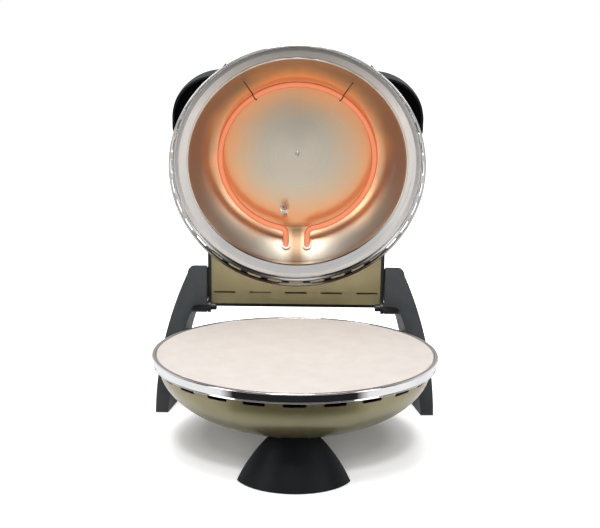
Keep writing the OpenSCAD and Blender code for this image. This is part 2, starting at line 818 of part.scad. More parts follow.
module hinge_bushes() {
    color("#c9b37a") at_hinge() difference() {
        translate([0, 0, arm_x]) cylinder(r = bush_out_r, h = bush_len);
        translate([0, 0, arm_x - past]) cylinder(r = bush_in_r, h = bush_len + 2 * past);
    }
}

module hinge_washers() {
    color("silver") at_hinge() difference() {
        translate([0, 0, arm_x - washer_t]) cylinder(r = eye_r - 1, h = washer_t);
        translate([0, 0, arm_x - washer_t - past]) cylinder(r = bush_in_r, h = washer_t + 2 * past);
    }
}

// Pins fixed in the neck plates, with round heads on the inner side
module hinge_pins() {
    color("#8f9092") at_hinge() {
        translate([0, 0, neck_x - pin_head_l]) cylinder(r = pin_head_r, h = pin_head_l);
        translate([0, 0, neck_x - past]) cylinder(r = pin_r, h = arm_x - neck_x + bush_len - past);
    }
}

// ---- Lid ----

// Flat seat, sloping flange and flared skirt with a row of slots
module lid_rim_ring() {
    slot_z = lid_gap + skirt_h / 2;
    seat_r = crease_r - seat_w;
    color("silver") at_lid() difference() {
        union() {
            ring_of([[lid_r - ring_t, lid_gap + bead_r], [lid_r, lid_gap + bead_r], [crease_r, dome_z],
                [seat_r, dome_z], [flange_end_r, flange_end_z + ring_t], [flange_end_r, flange_end_z],
                [seat_r, crease_z], [crease_r - ring_t, crease_z]]);
            rotate_extrude($fn = fine) translate([lid_r - ring_t / 2, lid_gap + bead_r]) circle(r = bead_r);
        }
        radial_slots(skirt_slots, lid_r, slot_z, skirt_slot_l, skirt_slot_h, 14);
    }
}

// Painted dome with a flat hem on the ring's seat
module lid_dome() {
    inner = [for (p = dome_section(dome_t)) if (p[1] > dome_z + dome_t) p];
    color("#9a8f5f") at_lid() difference() {
        ring_of(concat([[dome_r - hem_w, dome_z]], dome_section(0), reversed(inner),
            [[dome_r - dome_t, dome_z + dome_t], [dome_r - hem_w, dome_z + dome_t]]));
        handle_screw_places() cylinder(d = hole_d, h = 10, center = true);
    }
}

// Liner wall as a smooth curve from the lip to the floor, moved out by w
function liner_point(t, w) = let (
        a = [lip_r + w, flange_end_z],
        b = [lip_r - liner_belly_in + w * 0.7, lid_floor_z - liner_belly_down + w * 0.7],
        c = [lid_floor_r, lid_floor_z + w])
    pow(1 - t, 2) * a + 2 * t * (1 - t) * b + t * t * c;
function liner_curve(w) = [for (i = [0:liner_steps]) liner_point(i / liner_steps, w)];

module lid_liner() {
    slope = flange_rise / (flange_w - seat_w);
    rest_w = 5;
    rest_z = flange_end_z + ring_t;
    color("#cfc8bd") at_lid() difference() {
        union() {
            ring_of(concat(liner_curve(0), [[0, lid_floor_z], [0, lid_floor_z + liner_t]],
                reversed([for (i = [3:liner_steps]) liner_point(i / liner_steps, liner_t)]),
                [[lip_r + liner_t, rest_z + liner_t], [flange_end_r, rest_z + liner_t],
                    [flange_end_r + rest_w, rest_z + liner_t - slope * rest_w],
                    [flange_end_r + rest_w, rest_z - slope * rest_w], [flange_end_r, rest_z],
                    [lip_r + liner_t, rest_z]]));
            rotate_extrude($fn = fine) translate([lip_r, flange_end_z]) circle(r = bead_r);
        }
        both_sides() translate([end_x, lid_element_r, lid_element_z]) rotate([-90, 0, 0])
            cylinder(d = bush_neck_d, h = 60);
        hanger_places() rotate([0, 90, 0])
            cylinder(d = wire_d + wall_fit, h = wall_r_at(lid_element_z) - lid_element_r + 3 * wire_d);
        translate([0, 0, lid_floor_z - past]) cylinder(d = hole_d, h = 2 * past + liner_t);
    }
}

// Radius of the liner's wall at a height, found along its curve
function wall_r_at(z, lo = 0, hi = 1, n = 0) = let (m = (lo + hi) / 2, p = liner_point(m, 0))
    n > 20 ? p[0] : p[1] > z ? wall_r_at(z, lo, m, n + 1) : wall_r_at(z, m, hi, n + 1);

module lid_element() {
    color("#e0532b") at_lid() translate([0, 0, lid_element_z])
        element_tube(lid_element_r, lid_bush_y + bush_d);
}

module lid_element_bushes() {
    color("ivory") at_lid() translate([0, 0, lid_element_z]) bush_pair(lid_bush_y, 180 - lid_wall_tilt);
}

// Where the two wire hangers take hold of the element
module hanger_places() {
    for (s = [-1, 1]) rotate([0, 0, s * hanger_angle - 90])
        translate([lid_element_r, 0, lid_element_z]) children();
}

// Wire hangers: a hook round the tube and a wire out through a hole in the liner's wall
module element_hangers() {
    hook_r = (tube_d + wire_d) / 2;
    reach = wall_r_at(lid_element_z) - lid_element_r - hook_r + 2 * wire_d;
    sink = wire_d / 4;
    color("#b9b9b9") at_lid() hanger_places() {
        rotate([90, 0, 0]) rotate_extrude(angle = 250, start = 0)
            translate([hook_r, 0]) circle(d = wire_d, $fn = 16);
        rotate([0, 90, 0]) translate([0, 0, hook_r - sink]) cylinder(d = wire_d, h = reach + sink, $fn = 16);
    }
}

module at_sensor() { at_lid() translate([sensor_x, sensor_y, lid_floor_z]) rotate([180, 0, 0]) children(); }

// Bent strip on the liner's floor that clips the sensor bulb
module sensor_bracket() {
    color("#9c9c9a") at_sensor() difference() {
        union() {
            translate([-4, -5, 0]) cube([8, 10, 1]);
            translate([-4, -5, 0]) cube([1, 10, 8]);
            translate([-4, -2, 6]) cube([9.5, 4, 6]);
            translate([0.5, 2, 0]) cylinder(d = 4.5, h = 2.2);
        }
        translate([bulb_d / 2, 0, bulb_up]) rotate([90, 0, 0])
            cylinder(d = bulb_d, h = drill_l, center = true);
    }
}

module sensor_bulb() {
    color("#b98a5a") at_sensor() translate([bulb_d / 2, bulb_l / 2, bulb_up]) rotate([90, 0, 0])
        cylinder(d = bulb_d, h = bulb_l);
}

// Centre screw through the liner into a spacer under the dome
module liner_screw() {
    color("gainsboro") at_lid() translate([0, 0, lid_floor_z]) rotate([180, 0, 0])
        screw(spacer_hole_l);
}

module dome_spacer() {
    low = lid_floor_z + liner_t;
    color("#b8b8b8") at_lid() difference() {
        translate([0, 0, low]) cylinder(d = spacer_d, h = dome_top_z - dome_t - screw_gap - low);
        translate([0, 0, low - past]) cylinder(d = tap_d, h = spacer_hole_l + past);
    }
}

// ---- Neck ----

// Side view of the neck: level over the hinge, sloping forward onto the dome, inset by w
function neck_side(w, low) = let (c = neck_corner_r, top = neck_top_up)
    concat([[neck_front + w, low], [neck_front + w, neck_low_top - w], [neck_knee, top - w]],
        reversed(round_corner([neck_back - c, top - c], c - w, 0, 90)), [[neck_back - w, low]]);
module neck_solid(w, low) {
    translate([w - neck_x, 0, 0]) rotate([90, 0, 90]) linear_extrude(2 * (neck_x - w))
        polygon(neck_side(w, low));
}

// Screws driven outwards into the plates from inside the cover, and through the bar from behind
module side_screw_places() {
    both_sides() for (y = [neck_knee + neck_screw_in, neck_back - neck_screw_rear])
        translate([neck_x - neck_t, y, neck_top_up - neck_screw_in])
        rotate([0, -90, 0]) children();
}
module rear_screw_places() {
    for (x = [-1, 1]) translate([x * neck_x * 0.6, neck_back + bar_t, panel_up + bar_h / 2])
        rotate([-90, 0, 0]) children();
}

module neck_cover() {
    low = panel_up + neck_t;
    color("#9a8f5f") at_lid() difference() {
        neck_solid(0, low);
        neck_solid(neck_t, low - past);
        dome_body();
        side_screw_places() cylinder(d = hole_d, h = 8, center = true);
        rear_screw_places() translate([0, 0, -bar_t - neck_t - past])
            cylinder(d = hole_d, h = bar_t + neck_t + 2 * past);
        gland_place() cylinder(d = lead_gland_d, h = 8, center = true);
    }
}

module neck_panel() {
    color("#9a8f5f") at_lid() difference() {
        translate([-neck_x, neck_front, panel_up]) cube([2 * neck_x, neck_back - neck_front, neck_t]);
        dome_body();
        for (i = [0:panel_slots - 1]) translate([(i - (panel_slots - 1) / 2) * panel_pitch,
            neck_back - panel_slot_in, panel_up - past]) linear_extrude(neck_t + 2 * past)
                stadium(panel_slot_l, panel_slot_h);
    }
}

// Black side plate with the hinge eye at its lower rear corner
module neck_plate() {
    c = neck_corner_r;
    low = panel_up - plate_below;
    side = concat([[neck_knee, low], [neck_knee, neck_top_up]],
        reversed(round_corner([neck_back - c, neck_top_up - c], c, 0, 90)), [[neck_back, low]]);
    at_lid() difference() {
        union() {
            translate([neck_x, 0, 0]) rotate([90, 0, 90]) linear_extrude(plate_t) polygon(side);
            translate([neck_x, hinge_back - eye_r, hinge_up]) cube([plate_t, 2 * eye_r, panel_up - hinge_up]);
            translate([neck_x, hinge_back, hinge_up]) rotate([0, 90, 0]) cylinder(r = eye_r, h = plate_t);
        }
        translate([neck_x - past, hinge_back, hinge_up]) rotate([0, 90, 0])
            cylinder(r = pin_r, h = plate_t + 2 * past);
        side_screw_places() translate([0, 0, -plate_screw_l]) cylinder(d = tap_d, h = plate_screw_l);
    }
}
module neck_plate_right() { color("#1d1e20") neck_plate(); }
module neck_plate_left() { color("#1d1e20") mirror([1, 0, 0]) neck_plate(); }

module neck_rear_bar() {
    color("#1d1e20") at_lid() difference() {
        translate([-neck_x, neck_back, panel_up]) cube([2 * neck_x, bar_t, bar_h]);
        rear_screw_places() translate([0, 0, -bar_t - past]) cylinder(d = hole_d, h = bar_t + 2 * past);
    }
}

module neck_screws() {
    color("gainsboro") at_lid() {
        side_screw_places() screw(plate_screw_l);
        rear_screw_places() screw(bar_screw_l);
    }
}

// ---- Handle and controls ----

// Plan of the handle: straight front, round ears and rounded rear corners, inset by w
function handle_plan(w) = let (
        x = handle_x - w,
        front = handle_front - w,
        rear = handle_rear + w,
        e = ear_r - w,
        c = ear_corner_r - w,
        ear = [for (i = [0:ear_steps]) let (a = i * 90 / ear_steps - 90)
            [x - e + e * cos(a), e - front + e * sin(a)]],
        corner = [for (i = [0:4]) let (a = i * 90 / 4) [x - c + c * cos(a), -rear - c + c * sin(a)]],
        half = concat(ear, corner))
    both_halves(half);
function both_halves(half) = concat(half, reversed([for (p = half) [-p[0], p[1]]]));

module handle_solid(w, low) {
    intersection() {
        crown_body(w);
        translate([0, 0, low]) linear_extrude(handle_top_up) polygon(handle_plan(w));
    }
}

// Finger lip with a point at each end, its long front a little behind the points
module finger_lip() {
    front = -handle_front - grip_out;
    translate([0, 0, grip_up - grip_t]) linear_extrude(grip_t) polygon(both_halves([
        [grip_x + grip_flank, handle_wall - handle_front], [grip_x + grip_flank, -handle_front],
        [grip_x, front], [grip_x - grip_point, front + grip_scoop]]));
}

module handle_screw_places() {
    for (turn = boss_turns) on_dome(turn, boss_angle) children();
}
module knob_places() { for (s = [-1, 1]) translate([s * knob_x, -knob_fwd, seat_up]) children(); }

module handle_shell() {
    color("#232426") at_lid() difference() {
        union() {
            difference() {
                handle_solid(0, handle_edge_up);
                handle_solid(handle_wall, 0);
            }
            finger_lip();
            knob_places() translate([0, 0, -seat_t]) cylinder(d = knob_d + 2 * seat_rim, h = seat_t);
            intersection() {
                handle_screw_places() cylinder(d = boss_d, h = boss_h);
                handle_solid(handle_wall / 2, 0);
            }
        }
        dome_body();
        knob_places() translate([0, 0, -seat_t - past]) cylinder(r = sleeve_r, h = seat_t + 2 * past);
        translate([0, -knob_fwd, handle_low_up]) cylinder(d = lens_d, h = handle_top_up);
        handle_screw_places() cylinder(d = tap_d, h = boss_screw_l);
    }
}

module handle_screws() {
    color("gainsboro") at_lid() handle_screw_places() translate([0, 0, -dome_t - screw_gap])
        rotate([180, 0, 0]) screw(boss_screw_l);
}

// Control hung under its seat, with a sleeve that guides the shaft
module control_body() {
    difference() {
        union() {
            translate([0, 0, -seat_t - control_h]) cylinder(d = control_d, h = control_h);
            translate([0, 0, -seat_t]) cylinder(r = sleeve_r, h = seat_t);
        }
        translate([0, 0, -seat_t - shaft_in_body])
            cylinder(r = shaft_d / 2 + shaft_gap, h = seat_t + shaft_in_body + past);
    }
}
module at_knob(s) { at_lid() translate([s * knob_x, -knob_fwd, seat_up]) children(); }
module thermostat_body() { color("#c7bfae") at_knob(-1) control_body(); }
module timer_body() { color("#b9bcc0") at_knob(1) control_body(); }

// Shaft from just above the bottom of its guide into the knob
module shaft() {
    low = -seat_t - shaft_in_body + 0.3;
    translate([0, 0, low]) cylinder(d = shaft_d, h = knob_gap + shaft_in_knob - low);
}
module thermostat_shaft() { color("silver") at_knob(-1) shaft(); }
module timer_shaft() { color("silver") at_knob(1) shaft(); }

// Round knob with finger flutes and a pointer ridge
module thermostat_knob() {
    flutes = 14;
    color("#17181a") at_knob(-1) translate([0, 0, knob_gap]) difference() {
        union() {
            cylinder(d = knob_d, h = knob_h * 0.25);
            cylinder(d = knob_d * 0.84, h = knob_h);
            translate([-1, -knob_d / 2 + 1, 0]) cube([2, knob_d / 3, knob_h + 1]);
        }
        for (i = [1:flutes - 1]) rotate([0, 0, i * 360 / flutes - 90])
            translate([knob_d * 0.46, 0, knob_h * 0.25]) cylinder(d = knob_d * 0.12, h = knob_h);
        translate([0, 0, -past]) cylinder(d = shaft_d, h = shaft_in_knob + past);
    }
}

// Knob with a straight finger bar across a round skirt
module timer_knob() {
    color("#17181a") at_knob(1) translate([0, 0, knob_gap]) difference() {
        union() {
            cylinder(d = knob_d, h = knob_h * 0.3);
            intersection() {
                cylinder(d = knob_d - 1, h = knob_h);
                translate([-knob_d / 8, -knob_d / 2, 0]) cube([knob_d / 4, knob_d, knob_h]);
            }
        }
        translate([-0.6, -knob_d / 2, knob_h - 1]) cube([1.2, knob_d * 0.4, 2]);
        translate([0, 0, -past]) cylinder(d = shaft_d, h = shaft_in_knob + past);
    }
}

module pilot_lens() {
    color("#c23a1e") at_lid() translate([0, -knob_fwd, lens_top - lens_t]) cylinder(d = lens_d, h = lens_t);
}
module pilot_lamp() {
    color("#e8c48a") at_lid() translate([0, -knob_fwd, lens_top - 2 * lens_t])
        cylinder(d = lamp_d, h = lens_t);
}

// Wire block on the inside of the neck's rear wall
module lid_terminal_block() {
    color("#d8d2c4") at_lid() translate([-neck_x / 3, neck_back - neck_t, panel_up + block_up])
        rotate([90, 0, 0]) wire_block();
}

// Bush in the neck's rear face for the leads that come up from the base
module gland_place() {
    translate([neck_x / 4, neck_back, panel_up + bar_h + lead_gland_d]) rotate([-90, 0, 0]) children();
}
module conduit_gland() {
    color("#2a2a2b") at_lid() gland_place() difference() {
        union() {
            cylinder(d = lead_gland_d + 4, h = 2.5);
            translate([0, 0, -3]) cylinder(d = lead_gland_d, h = 10);
        }
        translate([0, 0, -4]) cylinder(d = lead_gland_d - 4, h = 20);
    }
}

pizza_stone();
base_rim_ring();
base_bowl();
base_liner();
base_element();
element_saddles();
base_element_bushes();
rim_screws();
terminal_block();
thermal_cutout();
cord_gland();
front_foot();
foot_screws();
foot_pads();
leg_left();
leg_right();
rear_bracket();
bracket_screws();
leg_screws();
hinge_pins();
hinge_bushes();
hinge_washers();
lid_rim_ring();
lid_dome();
lid_liner();
lid_element();
lid_element_bushes();
element_hangers();
sensor_bracket();
sensor_bulb();
liner_screw();
dome_spacer();
neck_cover();
neck_panel();
neck_plate_left();
neck_plate_right();
neck_rear_bar();
neck_screws();
handle_shell();
handle_screws();
thermostat_body();
timer_body();
pilot_lens();
pilot_lamp();
lid_terminal_block();
conduit_gland();
thermostat_knob();
thermostat_shaft();
timer_knob();
timer_shaft();
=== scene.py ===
import math

import bmesh
import bpy
from mathutils import Matrix, Vector


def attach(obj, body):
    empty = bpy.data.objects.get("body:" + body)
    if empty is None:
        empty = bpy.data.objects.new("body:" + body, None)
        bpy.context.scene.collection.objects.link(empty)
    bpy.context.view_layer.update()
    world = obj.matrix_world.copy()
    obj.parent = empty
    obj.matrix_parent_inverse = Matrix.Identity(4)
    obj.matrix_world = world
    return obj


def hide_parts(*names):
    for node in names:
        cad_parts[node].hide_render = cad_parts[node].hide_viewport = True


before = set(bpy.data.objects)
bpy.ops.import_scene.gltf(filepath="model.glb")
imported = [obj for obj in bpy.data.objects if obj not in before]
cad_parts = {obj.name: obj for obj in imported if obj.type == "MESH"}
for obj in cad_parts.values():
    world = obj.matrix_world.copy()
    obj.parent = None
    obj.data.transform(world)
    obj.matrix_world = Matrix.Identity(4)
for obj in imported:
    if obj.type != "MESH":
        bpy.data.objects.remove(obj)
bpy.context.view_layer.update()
print("frame loaded,", len(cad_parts), "solids")

# Everything is drawn in millimetres, in the frame of the base or of the closed lid, and then put in place
mm = 0.001
maker = {
    "rimHeight": 125.0,   # top of the stone above the worktop
    "bowlBack": -47.375,  # where the bowl's axis stands along Y
    "hingeBack": 181.0,   # hinge behind the bowl's axis
    "hingeUp": 7.0,       # hinge above the top of the stone
    "openAngle": 79.0,
}
hingeSpot = Vector((0, maker["bowlBack"] + maker["hingeBack"], maker["rimHeight"] + maker["hingeUp"]))
floorFrame = Matrix.Identity(4)
baseFrame = Matrix.Translation((0, maker["bowlBack"], maker["rimHeight"]))
lidFrame = (Matrix.Translation(hingeSpot) @ Matrix.Rotation(math.radians(-maker["openAngle"]), 4, "X")
            @ Matrix.Translation((0, -maker["hingeBack"], -maker["hingeUp"])))


# ---- small helpers for node trees ----

def addNode(tree, kind, inputs=None, **settings):
    node = tree.nodes.new(kind)
    for key, value in settings.items():
        setattr(node, key, value)
    for key, value in (inputs or {}).items():
        if isinstance(value, bpy.types.NodeSocket):
            tree.links.new(value, node.inputs[key])
        else:
            node.inputs[key].default_value = value
    return node


def addMath(tree, operation, first, second=0.0):
    return addNode(tree, "ShaderNodeMath", {0: first, 1: second}, operation=operation).outputs[0]


def addRange(tree, value, low, high, newLow, newHigh):
    keys = {"Value": value, "From Min": low, "From Max": high, "To Min": newLow, "To Max": newHigh}
    return addNode(tree, "ShaderNodeMapRange", keys).outputs["Result"]


def addRamp(tree, value, stops):
    node = addNode(tree, "ShaderNodeValToRGB", {"Fac": value})
    ramp = node.color_ramp
    while len(ramp.elements) < len(stops):
        ramp.elements.new(0.5)
    for element, (place, colour) in zip(ramp.elements, stops):
        element.position = place
        element.color = (*colour, 1.0)
    return node.outputs["Color"]


def addMix(tree, amount, first, second):
    node = addNode(tree, "ShaderNodeMix", data_type="RGBA")
    pairs = ((0, amount), (6, first), (7, second))
    for index, value in pairs:
        if isinstance(value, bpy.types.NodeSocket):
            tree.links.new(value, node.inputs[index])
        else:
            node.inputs[index].default_value = value if index == 0 else (*value, 1.0)
    return node.outputs[2]


def addNoise(tree, point, scale, detail=3.0, rough=0.5):
    keys = {"Vector": point, "Scale": scale, "Detail": detail, "Roughness": rough}
    return addNode(tree, "ShaderNodeTexNoise", keys).outputs["Fac"]


def addBump(tree, height, strength, distance):
    keys = {"Height": height, "Strength": strength, "Distance": distance}
    return addNode(tree, "ShaderNodeBump", keys).outputs["Normal"]


def ownPoint(tree, spot):
    # The point in millimetres in the frame that a piece was drawn in
    back = (Matrix.Scale(mm, 4) @ spot).inverted()
    point = addNode(tree, "ShaderNodeTexCoord").outputs["Object"]
    keys = {"Vector": point, "Location": back.to_translation(), "Rotation": back.to_euler(),
            "Scale": back.to_scale()}
    return addNode(tree, "ShaderNodeMapping", keys, vector_type="POINT").outputs["Vector"]


def roundPoint(tree, point):
    # Radius, height and angle round the piece's own axis
    axes = addNode(tree, "ShaderNodeSeparateXYZ", {"Vector": point})
    flat = addNode(tree, "ShaderNodeCombineXYZ", {"X": axes.outputs["X"], "Y": axes.outputs["Y"]})
    radius = addNode(tree, "ShaderNodeVectorMath", {0: flat.outputs[0]}, operation="LENGTH").outputs["Value"]
    return radius, axes.outputs["Z"], addMath(tree, "ARCTAN2", axes.outputs["Y"], axes.outputs["X"])


def spinMarks(tree, spot, fine, smear=0.6):
    # Fine rings, as turning and buffing leave them, that drift slowly round the piece
    radius, height, angle = roundPoint(tree, ownPoint(tree, spot))
    rings = addNode(tree, "ShaderNodeCombineXYZ", {"X": radius, "Y": height,
                                                   "Z": addMath(tree, "MULTIPLY", angle, smear)})
    return addNoise(tree, rings.outputs[0], fine, 4.0, 0.7), radius, height


def startFinish(name, colour, roughness, metallic=0.0, **more):
    material = bpy.data.materials.new(name)
    material.use_nodes = True
    shader = material.node_tree.nodes["Principled BSDF"]
    shader.inputs["Base Color"].default_value = (*colour, 1.0)
    shader.inputs["Roughness"].default_value = roughness
    shader.inputs["Metallic"].default_value = metallic
    for key, value in more.items():
        shader.inputs[key.replace("_", " ")].default_value = value
    return material, material.node_tree, shader


def joinTo(tree, shader, **sockets):
    for key, value in sockets.items():
        tree.links.new(value, shader.inputs[key.replace("_", " ")])


# ---- finishes ----

def bakingStone():
    material, tree, shader = startFinish("bakingStone", (0.8, 0.76, 0.68), 0.75, Specular_IOR_Level=0.35)
    point = ownPoint(tree, baseFrame)
    cloud = addNoise(tree, point, 0.035, 4.0, 0.6)
    grit = addNoise(tree, point, 1.6, 3.0, 0.7)
    pores = addNode(tree, "ShaderNodeTexVoronoi", {"Vector": point, "Scale": 0.55},
                    feature="F1").outputs["Distance"]
    colour = addRamp(tree, cloud, [(0.3, (0.63, 0.585, 0.545)), (0.7, (0.69, 0.645, 0.605))])
    speck = addRange(tree, grit, 0.62, 0.75, 0.0, 0.3)
    colour = addMix(tree, speck, colour, (0.52, 0.46, 0.4))
    pit = addRange(tree, pores, 0.05, 0.22, 0.0, 1.0)
    height = addMath(tree, "ADD", addMath(tree, "MULTIPLY", pit, 0.5), grit)
    joinTo(tree, shader, Base_Color=colour, Normal=addBump(tree, height, 0.25, 0.0003),
           Roughness=addRange(tree, grit, 0.3, 0.7, 0.68, 0.82))
    return material


def polishedSteel(name, spot, darkReflectionStart=500.0, darkReflectionEnd=501.0):
    # Painted dark reflection: the steel darkens towards the back, between its two distances in mm
    material, tree, shader = startFinish(name, (0.78, 0.78, 0.79), 0.1, 1.0)
    marks, radius, height = spinMarks(tree, spot, 1.4)
    smudge = addNoise(tree, ownPoint(tree, spot), 0.03, 3.0, 0.6)
    colour = addRamp(tree, smudge, [(0.3, (0.72, 0.72, 0.73)), (0.7, (0.82, 0.82, 0.83))])
    back = addNode(tree, "ShaderNodeSeparateXYZ", {0: ownPoint(tree, spot)}).outputs["Y"]
    colour = addMix(tree, addRange(tree, back, darkReflectionStart, darkReflectionEnd, 0.0, 0.94), colour, (0.03, 0.03, 0.032))
    rough = addMath(tree, "ADD", addRange(tree, marks, 0.3, 0.7, 0.03, 0.09),
                    addRange(tree, smudge, 0.45, 0.75, 0.0, 0.04))
    joinTo(tree, shader, Base_Color=colour, Roughness=rough, Normal=addBump(tree, marks, 0.03, 0.0001))
    return material


def brushedSteel(name, spot, low, high, rough, frontShadeSpan=(-501.0, -500.0)):
    material, tree, shader = startFinish(name, high, rough, 1.0, Anisotropic=0.55)
    marks, radius, height = spinMarks(tree, spot, 2.4, 0.25)
    broad = addNoise(tree, ownPoint(tree, spot), 0.02, 2.0, 0.5)
    mixed = addMath(tree, "ADD", addMath(tree, "MULTIPLY", marks, 0.7), addMath(tree, "MULTIPLY", broad, 0.3))
    colour = addRamp(tree, mixed, [(0.35, low), (0.65, high)])
    ahead = addNode(tree, "ShaderNodeSeparateXYZ", {0: ownPoint(tree, spot)}).outputs["Y"]
    frontShade = addRange(tree, ahead, *frontShadeSpan, 0.7, 0.0)  # painted shade: darker in front
    colour = addMix(tree, frontShade, colour, (0.12, 0.115, 0.11))
    tangent = addNode(tree, "ShaderNodeTangent", direction_type="UV_MAP", uv_map="spin").outputs["Tangent"]
    joinTo(tree, shader, Base_Color=colour,
           Roughness=addRange(tree, marks, 0.3, 0.7, rough - 0.05, rough + 0.07),
           Normal=addBump(tree, marks, 0.12, 0.00015), Tangent=tangent)
    return material


def heatTintedLiner():
    # Spun steel, straw to bronze near the element, dull grey-brown up the wall
    material, tree, shader = startFinish("heatTintedLiner", (0.6, 0.55, 0.48), 0.34, 1.0, Anisotropic=0.5,
                                         Emission_Strength=1.0)
    marks, radius, height = spinMarks(tree, lidFrame, 2.0, 0.25)
    cloud = addNoise(tree, ownPoint(tree, lidFrame), 0.018, 3.0, 0.5)
    drift = addMath(tree, "ADD", radius, addRange(tree, cloud, 0.3, 0.7, -5.0, 5.0))
    place = addRange(tree, drift, 0.0, 132.0, 0.0, 1.0)
    tint = addRamp(tree, place, [
        (0.0, (0.81, 0.78, 0.69)), (0.3, (0.78, 0.73, 0.62)), (0.46, (0.77, 0.65, 0.48)),
        (0.58, (0.74, 0.51, 0.31)), (0.72, (0.71, 0.44, 0.24)), (0.8, (0.48, 0.38, 0.25)),
        (0.9, (0.37, 0.34, 0.28)), (1.0, (0.36, 0.34, 0.3))])
    heat = addRamp(tree, place, [  # light of the element thrown back by the sheet beside it
        (0.3, (0.0, 0.0, 0.0)), (0.46, (0.1, 0.035, 0.006)), (0.56, (0.24, 0.085, 0.02)),
        (0.66, (0.38, 0.1, 0.025)), (0.74, (0.36, 0.1, 0.026)), (0.8, (0.2, 0.07, 0.02)),
        (0.88, (0.03, 0.012, 0.004)), (1.0, (0.0, 0.0, 0.0))])
    streak = addRange(tree, marks, 0.3, 0.7, 0.0, 0.22)
    colour = addMix(tree, streak, tint, (0.42, 0.36, 0.3))
    axes = addNode(tree, "ShaderNodeSeparateXYZ", {0: ownPoint(tree, lidFrame)}).outputs
    aside = addNode(tree, "ShaderNodeMath", {0: axes["X"]}, operation="ABSOLUTE").outputs[0]
    gap = addMath(tree, "MULTIPLY", addRange(tree, aside, 4.0, 17.0, 0.88, 0.0),
                  addRange(tree, axes["Y"], 88.0, 99.0, 0.0, 1.0))
    calm = addMath(tree, "MULTIPLY", addMath(tree, "SUBTRACT", 1.0, gap),
                   addRange(tree, axes["Y"], 30.0, 95.0, 1.0, 0.7))
    heat = addNode(tree, "ShaderNodeVectorMath", {0: heat, "Scale": calm}, operation="SCALE").outputs[0]
    colour = addMix(tree, gap, colour, (0.12, 0.07, 0.035))  # darker between the element's ends
    # Painted highlight on the lip towards the lid's front and painted shadow on it towards the hinge
    lip = addMix(tree, addRange(tree, axes["Y"], 50.0, 110.0, 0.0, 1.0), (0.95, 0.9, 0.8),
                 (0.04, 0.035, 0.03))
    colour = addMix(tree, addRange(tree, radius, 129.2, 129.7, 0.0, 1.0), colour, lip)
    tangent = addNode(tree, "ShaderNodeTangent", direction_type="UV_MAP", uv_map="spin").outputs["Tangent"]
    joinTo(tree, shader, Base_Color=colour, Emission_Color=heat,
           Roughness=addRange(tree, marks, 0.3, 0.7, 0.3, 0.42),
           Normal=addBump(tree, marks, 0.1, 0.00015), Tangent=tangent)
    return material


def olivePaint(name, spot, low, high):
    # Metallic paint, a little deeper where the flake lies thick, under a clear coat
    material, tree, shader = startFinish(name, (0.33, 0.29, 0.14), 0.36, 0.55, Coat_Weight=0.55,
                                         Coat_Roughness=0.08)
    point = ownPoint(tree, spot)
    flake = addNode(tree, "ShaderNodeTexVoronoi", {"Vector": point, "Scale": 2.6},
                    feature="F1").outputs["Distance"]
    cloud = addNoise(tree, point, 0.02, 3.0, 0.5)
    peel = addNoise(tree, point, 0.45, 2.0, 0.5)
    mixed = addMath(tree, "ADD", addMath(tree, "MULTIPLY", flake, 0.35),
                    addMath(tree, "MULTIPLY", cloud, 0.65))
    colour = addRamp(tree, mixed, [(0.25, low), (0.6, high)])
    joinTo(tree, shader, Base_Color=colour, Roughness=addRange(tree, flake, 0.0, 0.8, 0.32, 0.44),
           Normal=addBump(tree, peel, 0.04, 0.0002), Coat_Normal=addBump(tree, peel, 0.06, 0.0002))
    return material


def moulded(name, dark, light, rough, grain=1.2, depth=0.18, shine=0.5):
    # Moulded plastic with a fine spark grain and handling marks
    material, tree, shader = startFinish(name, dark, rough, 0.0, Specular_IOR_Level=shine)
    point = ownPoint(tree, floorFrame)
    spark = addNoise(tree, point, grain, 3.0, 0.6)
    wear = addNoise(tree, point, 0.025, 4.0, 0.6)
    colour = addRamp(tree, wear, [(0.35, dark), (0.7, light)])
    rougher = addMath(tree, "ADD", addRange(tree, spark, 0.3, 0.7, rough - 0.04, rough + 0.04),
                      addRange(tree, wear, 0.3, 0.7, -0.04, 0.05))
    joinTo(tree, shader, Base_Color=colour, Roughness=rougher, Normal=addBump(tree, spark, depth, 0.0002))
    return material


def turnedMetal(name, dark, light, rough, grain=1.0):
    material, tree, shader = startFinish(name, light, rough, 1.0)
    point = ownPoint(tree, floorFrame)
    cloud = addNoise(tree, point, 0.12, 4.0, 0.65)
    fine = addNoise(tree, point, grain, 3.0, 0.6)
    joinTo(tree, shader, Base_Color=addRamp(tree, cloud, [(0.3, dark), (0.7, light)]),
           Roughness=addRange(tree, fine, 0.3, 0.7, rough - 0.06, rough + 0.08),
           Normal=addBump(tree, fine, 0.1, 0.0001))
    return material


def glowingSheath():
    # Oxidised sheath at red heat, brighter in patches along its length
    material, tree, shader = startFinish("glowingSheath", (0.45, 0.14, 0.06), 0.5, 0.0,
                                         Emission_Strength=0.75)
    point = ownPoint(tree, lidFrame)
    patch = addNoise(tree, point, 0.05, 3.0, 0.6)
    scale = addNoise(tree, point, 0.9, 3.0, 0.6)
    radius, height, angle = roundPoint(tree, point)
    side = addRange(tree, height, 36.2, 40.2, 0.0, 1.0)  # the ring's flanks glow less than its top
    heat = addMath(tree, "ADD", addMath(tree, "MULTIPLY", patch, 0.2), addMath(tree, "MULTIPLY", side, 0.8))
    glow = addRamp(tree, heat, [(0.1, (0.98, 0.34, 0.16)), (0.38, (0.85, 0.2, 0.08)),
                                (0.58, (0.48, 0.07, 0.022)), (0.85, (0.3, 0.035, 0.01))])
    joinTo(tree, shader, Emission_Color=glow, Normal=addBump(tree, scale, 0.3, 0.0002),
           Base_Color=addRamp(tree, scale, [(0.3, (0.2, 0.06, 0.03)), (0.7, (0.28, 0.09, 0.045))]))
    return material


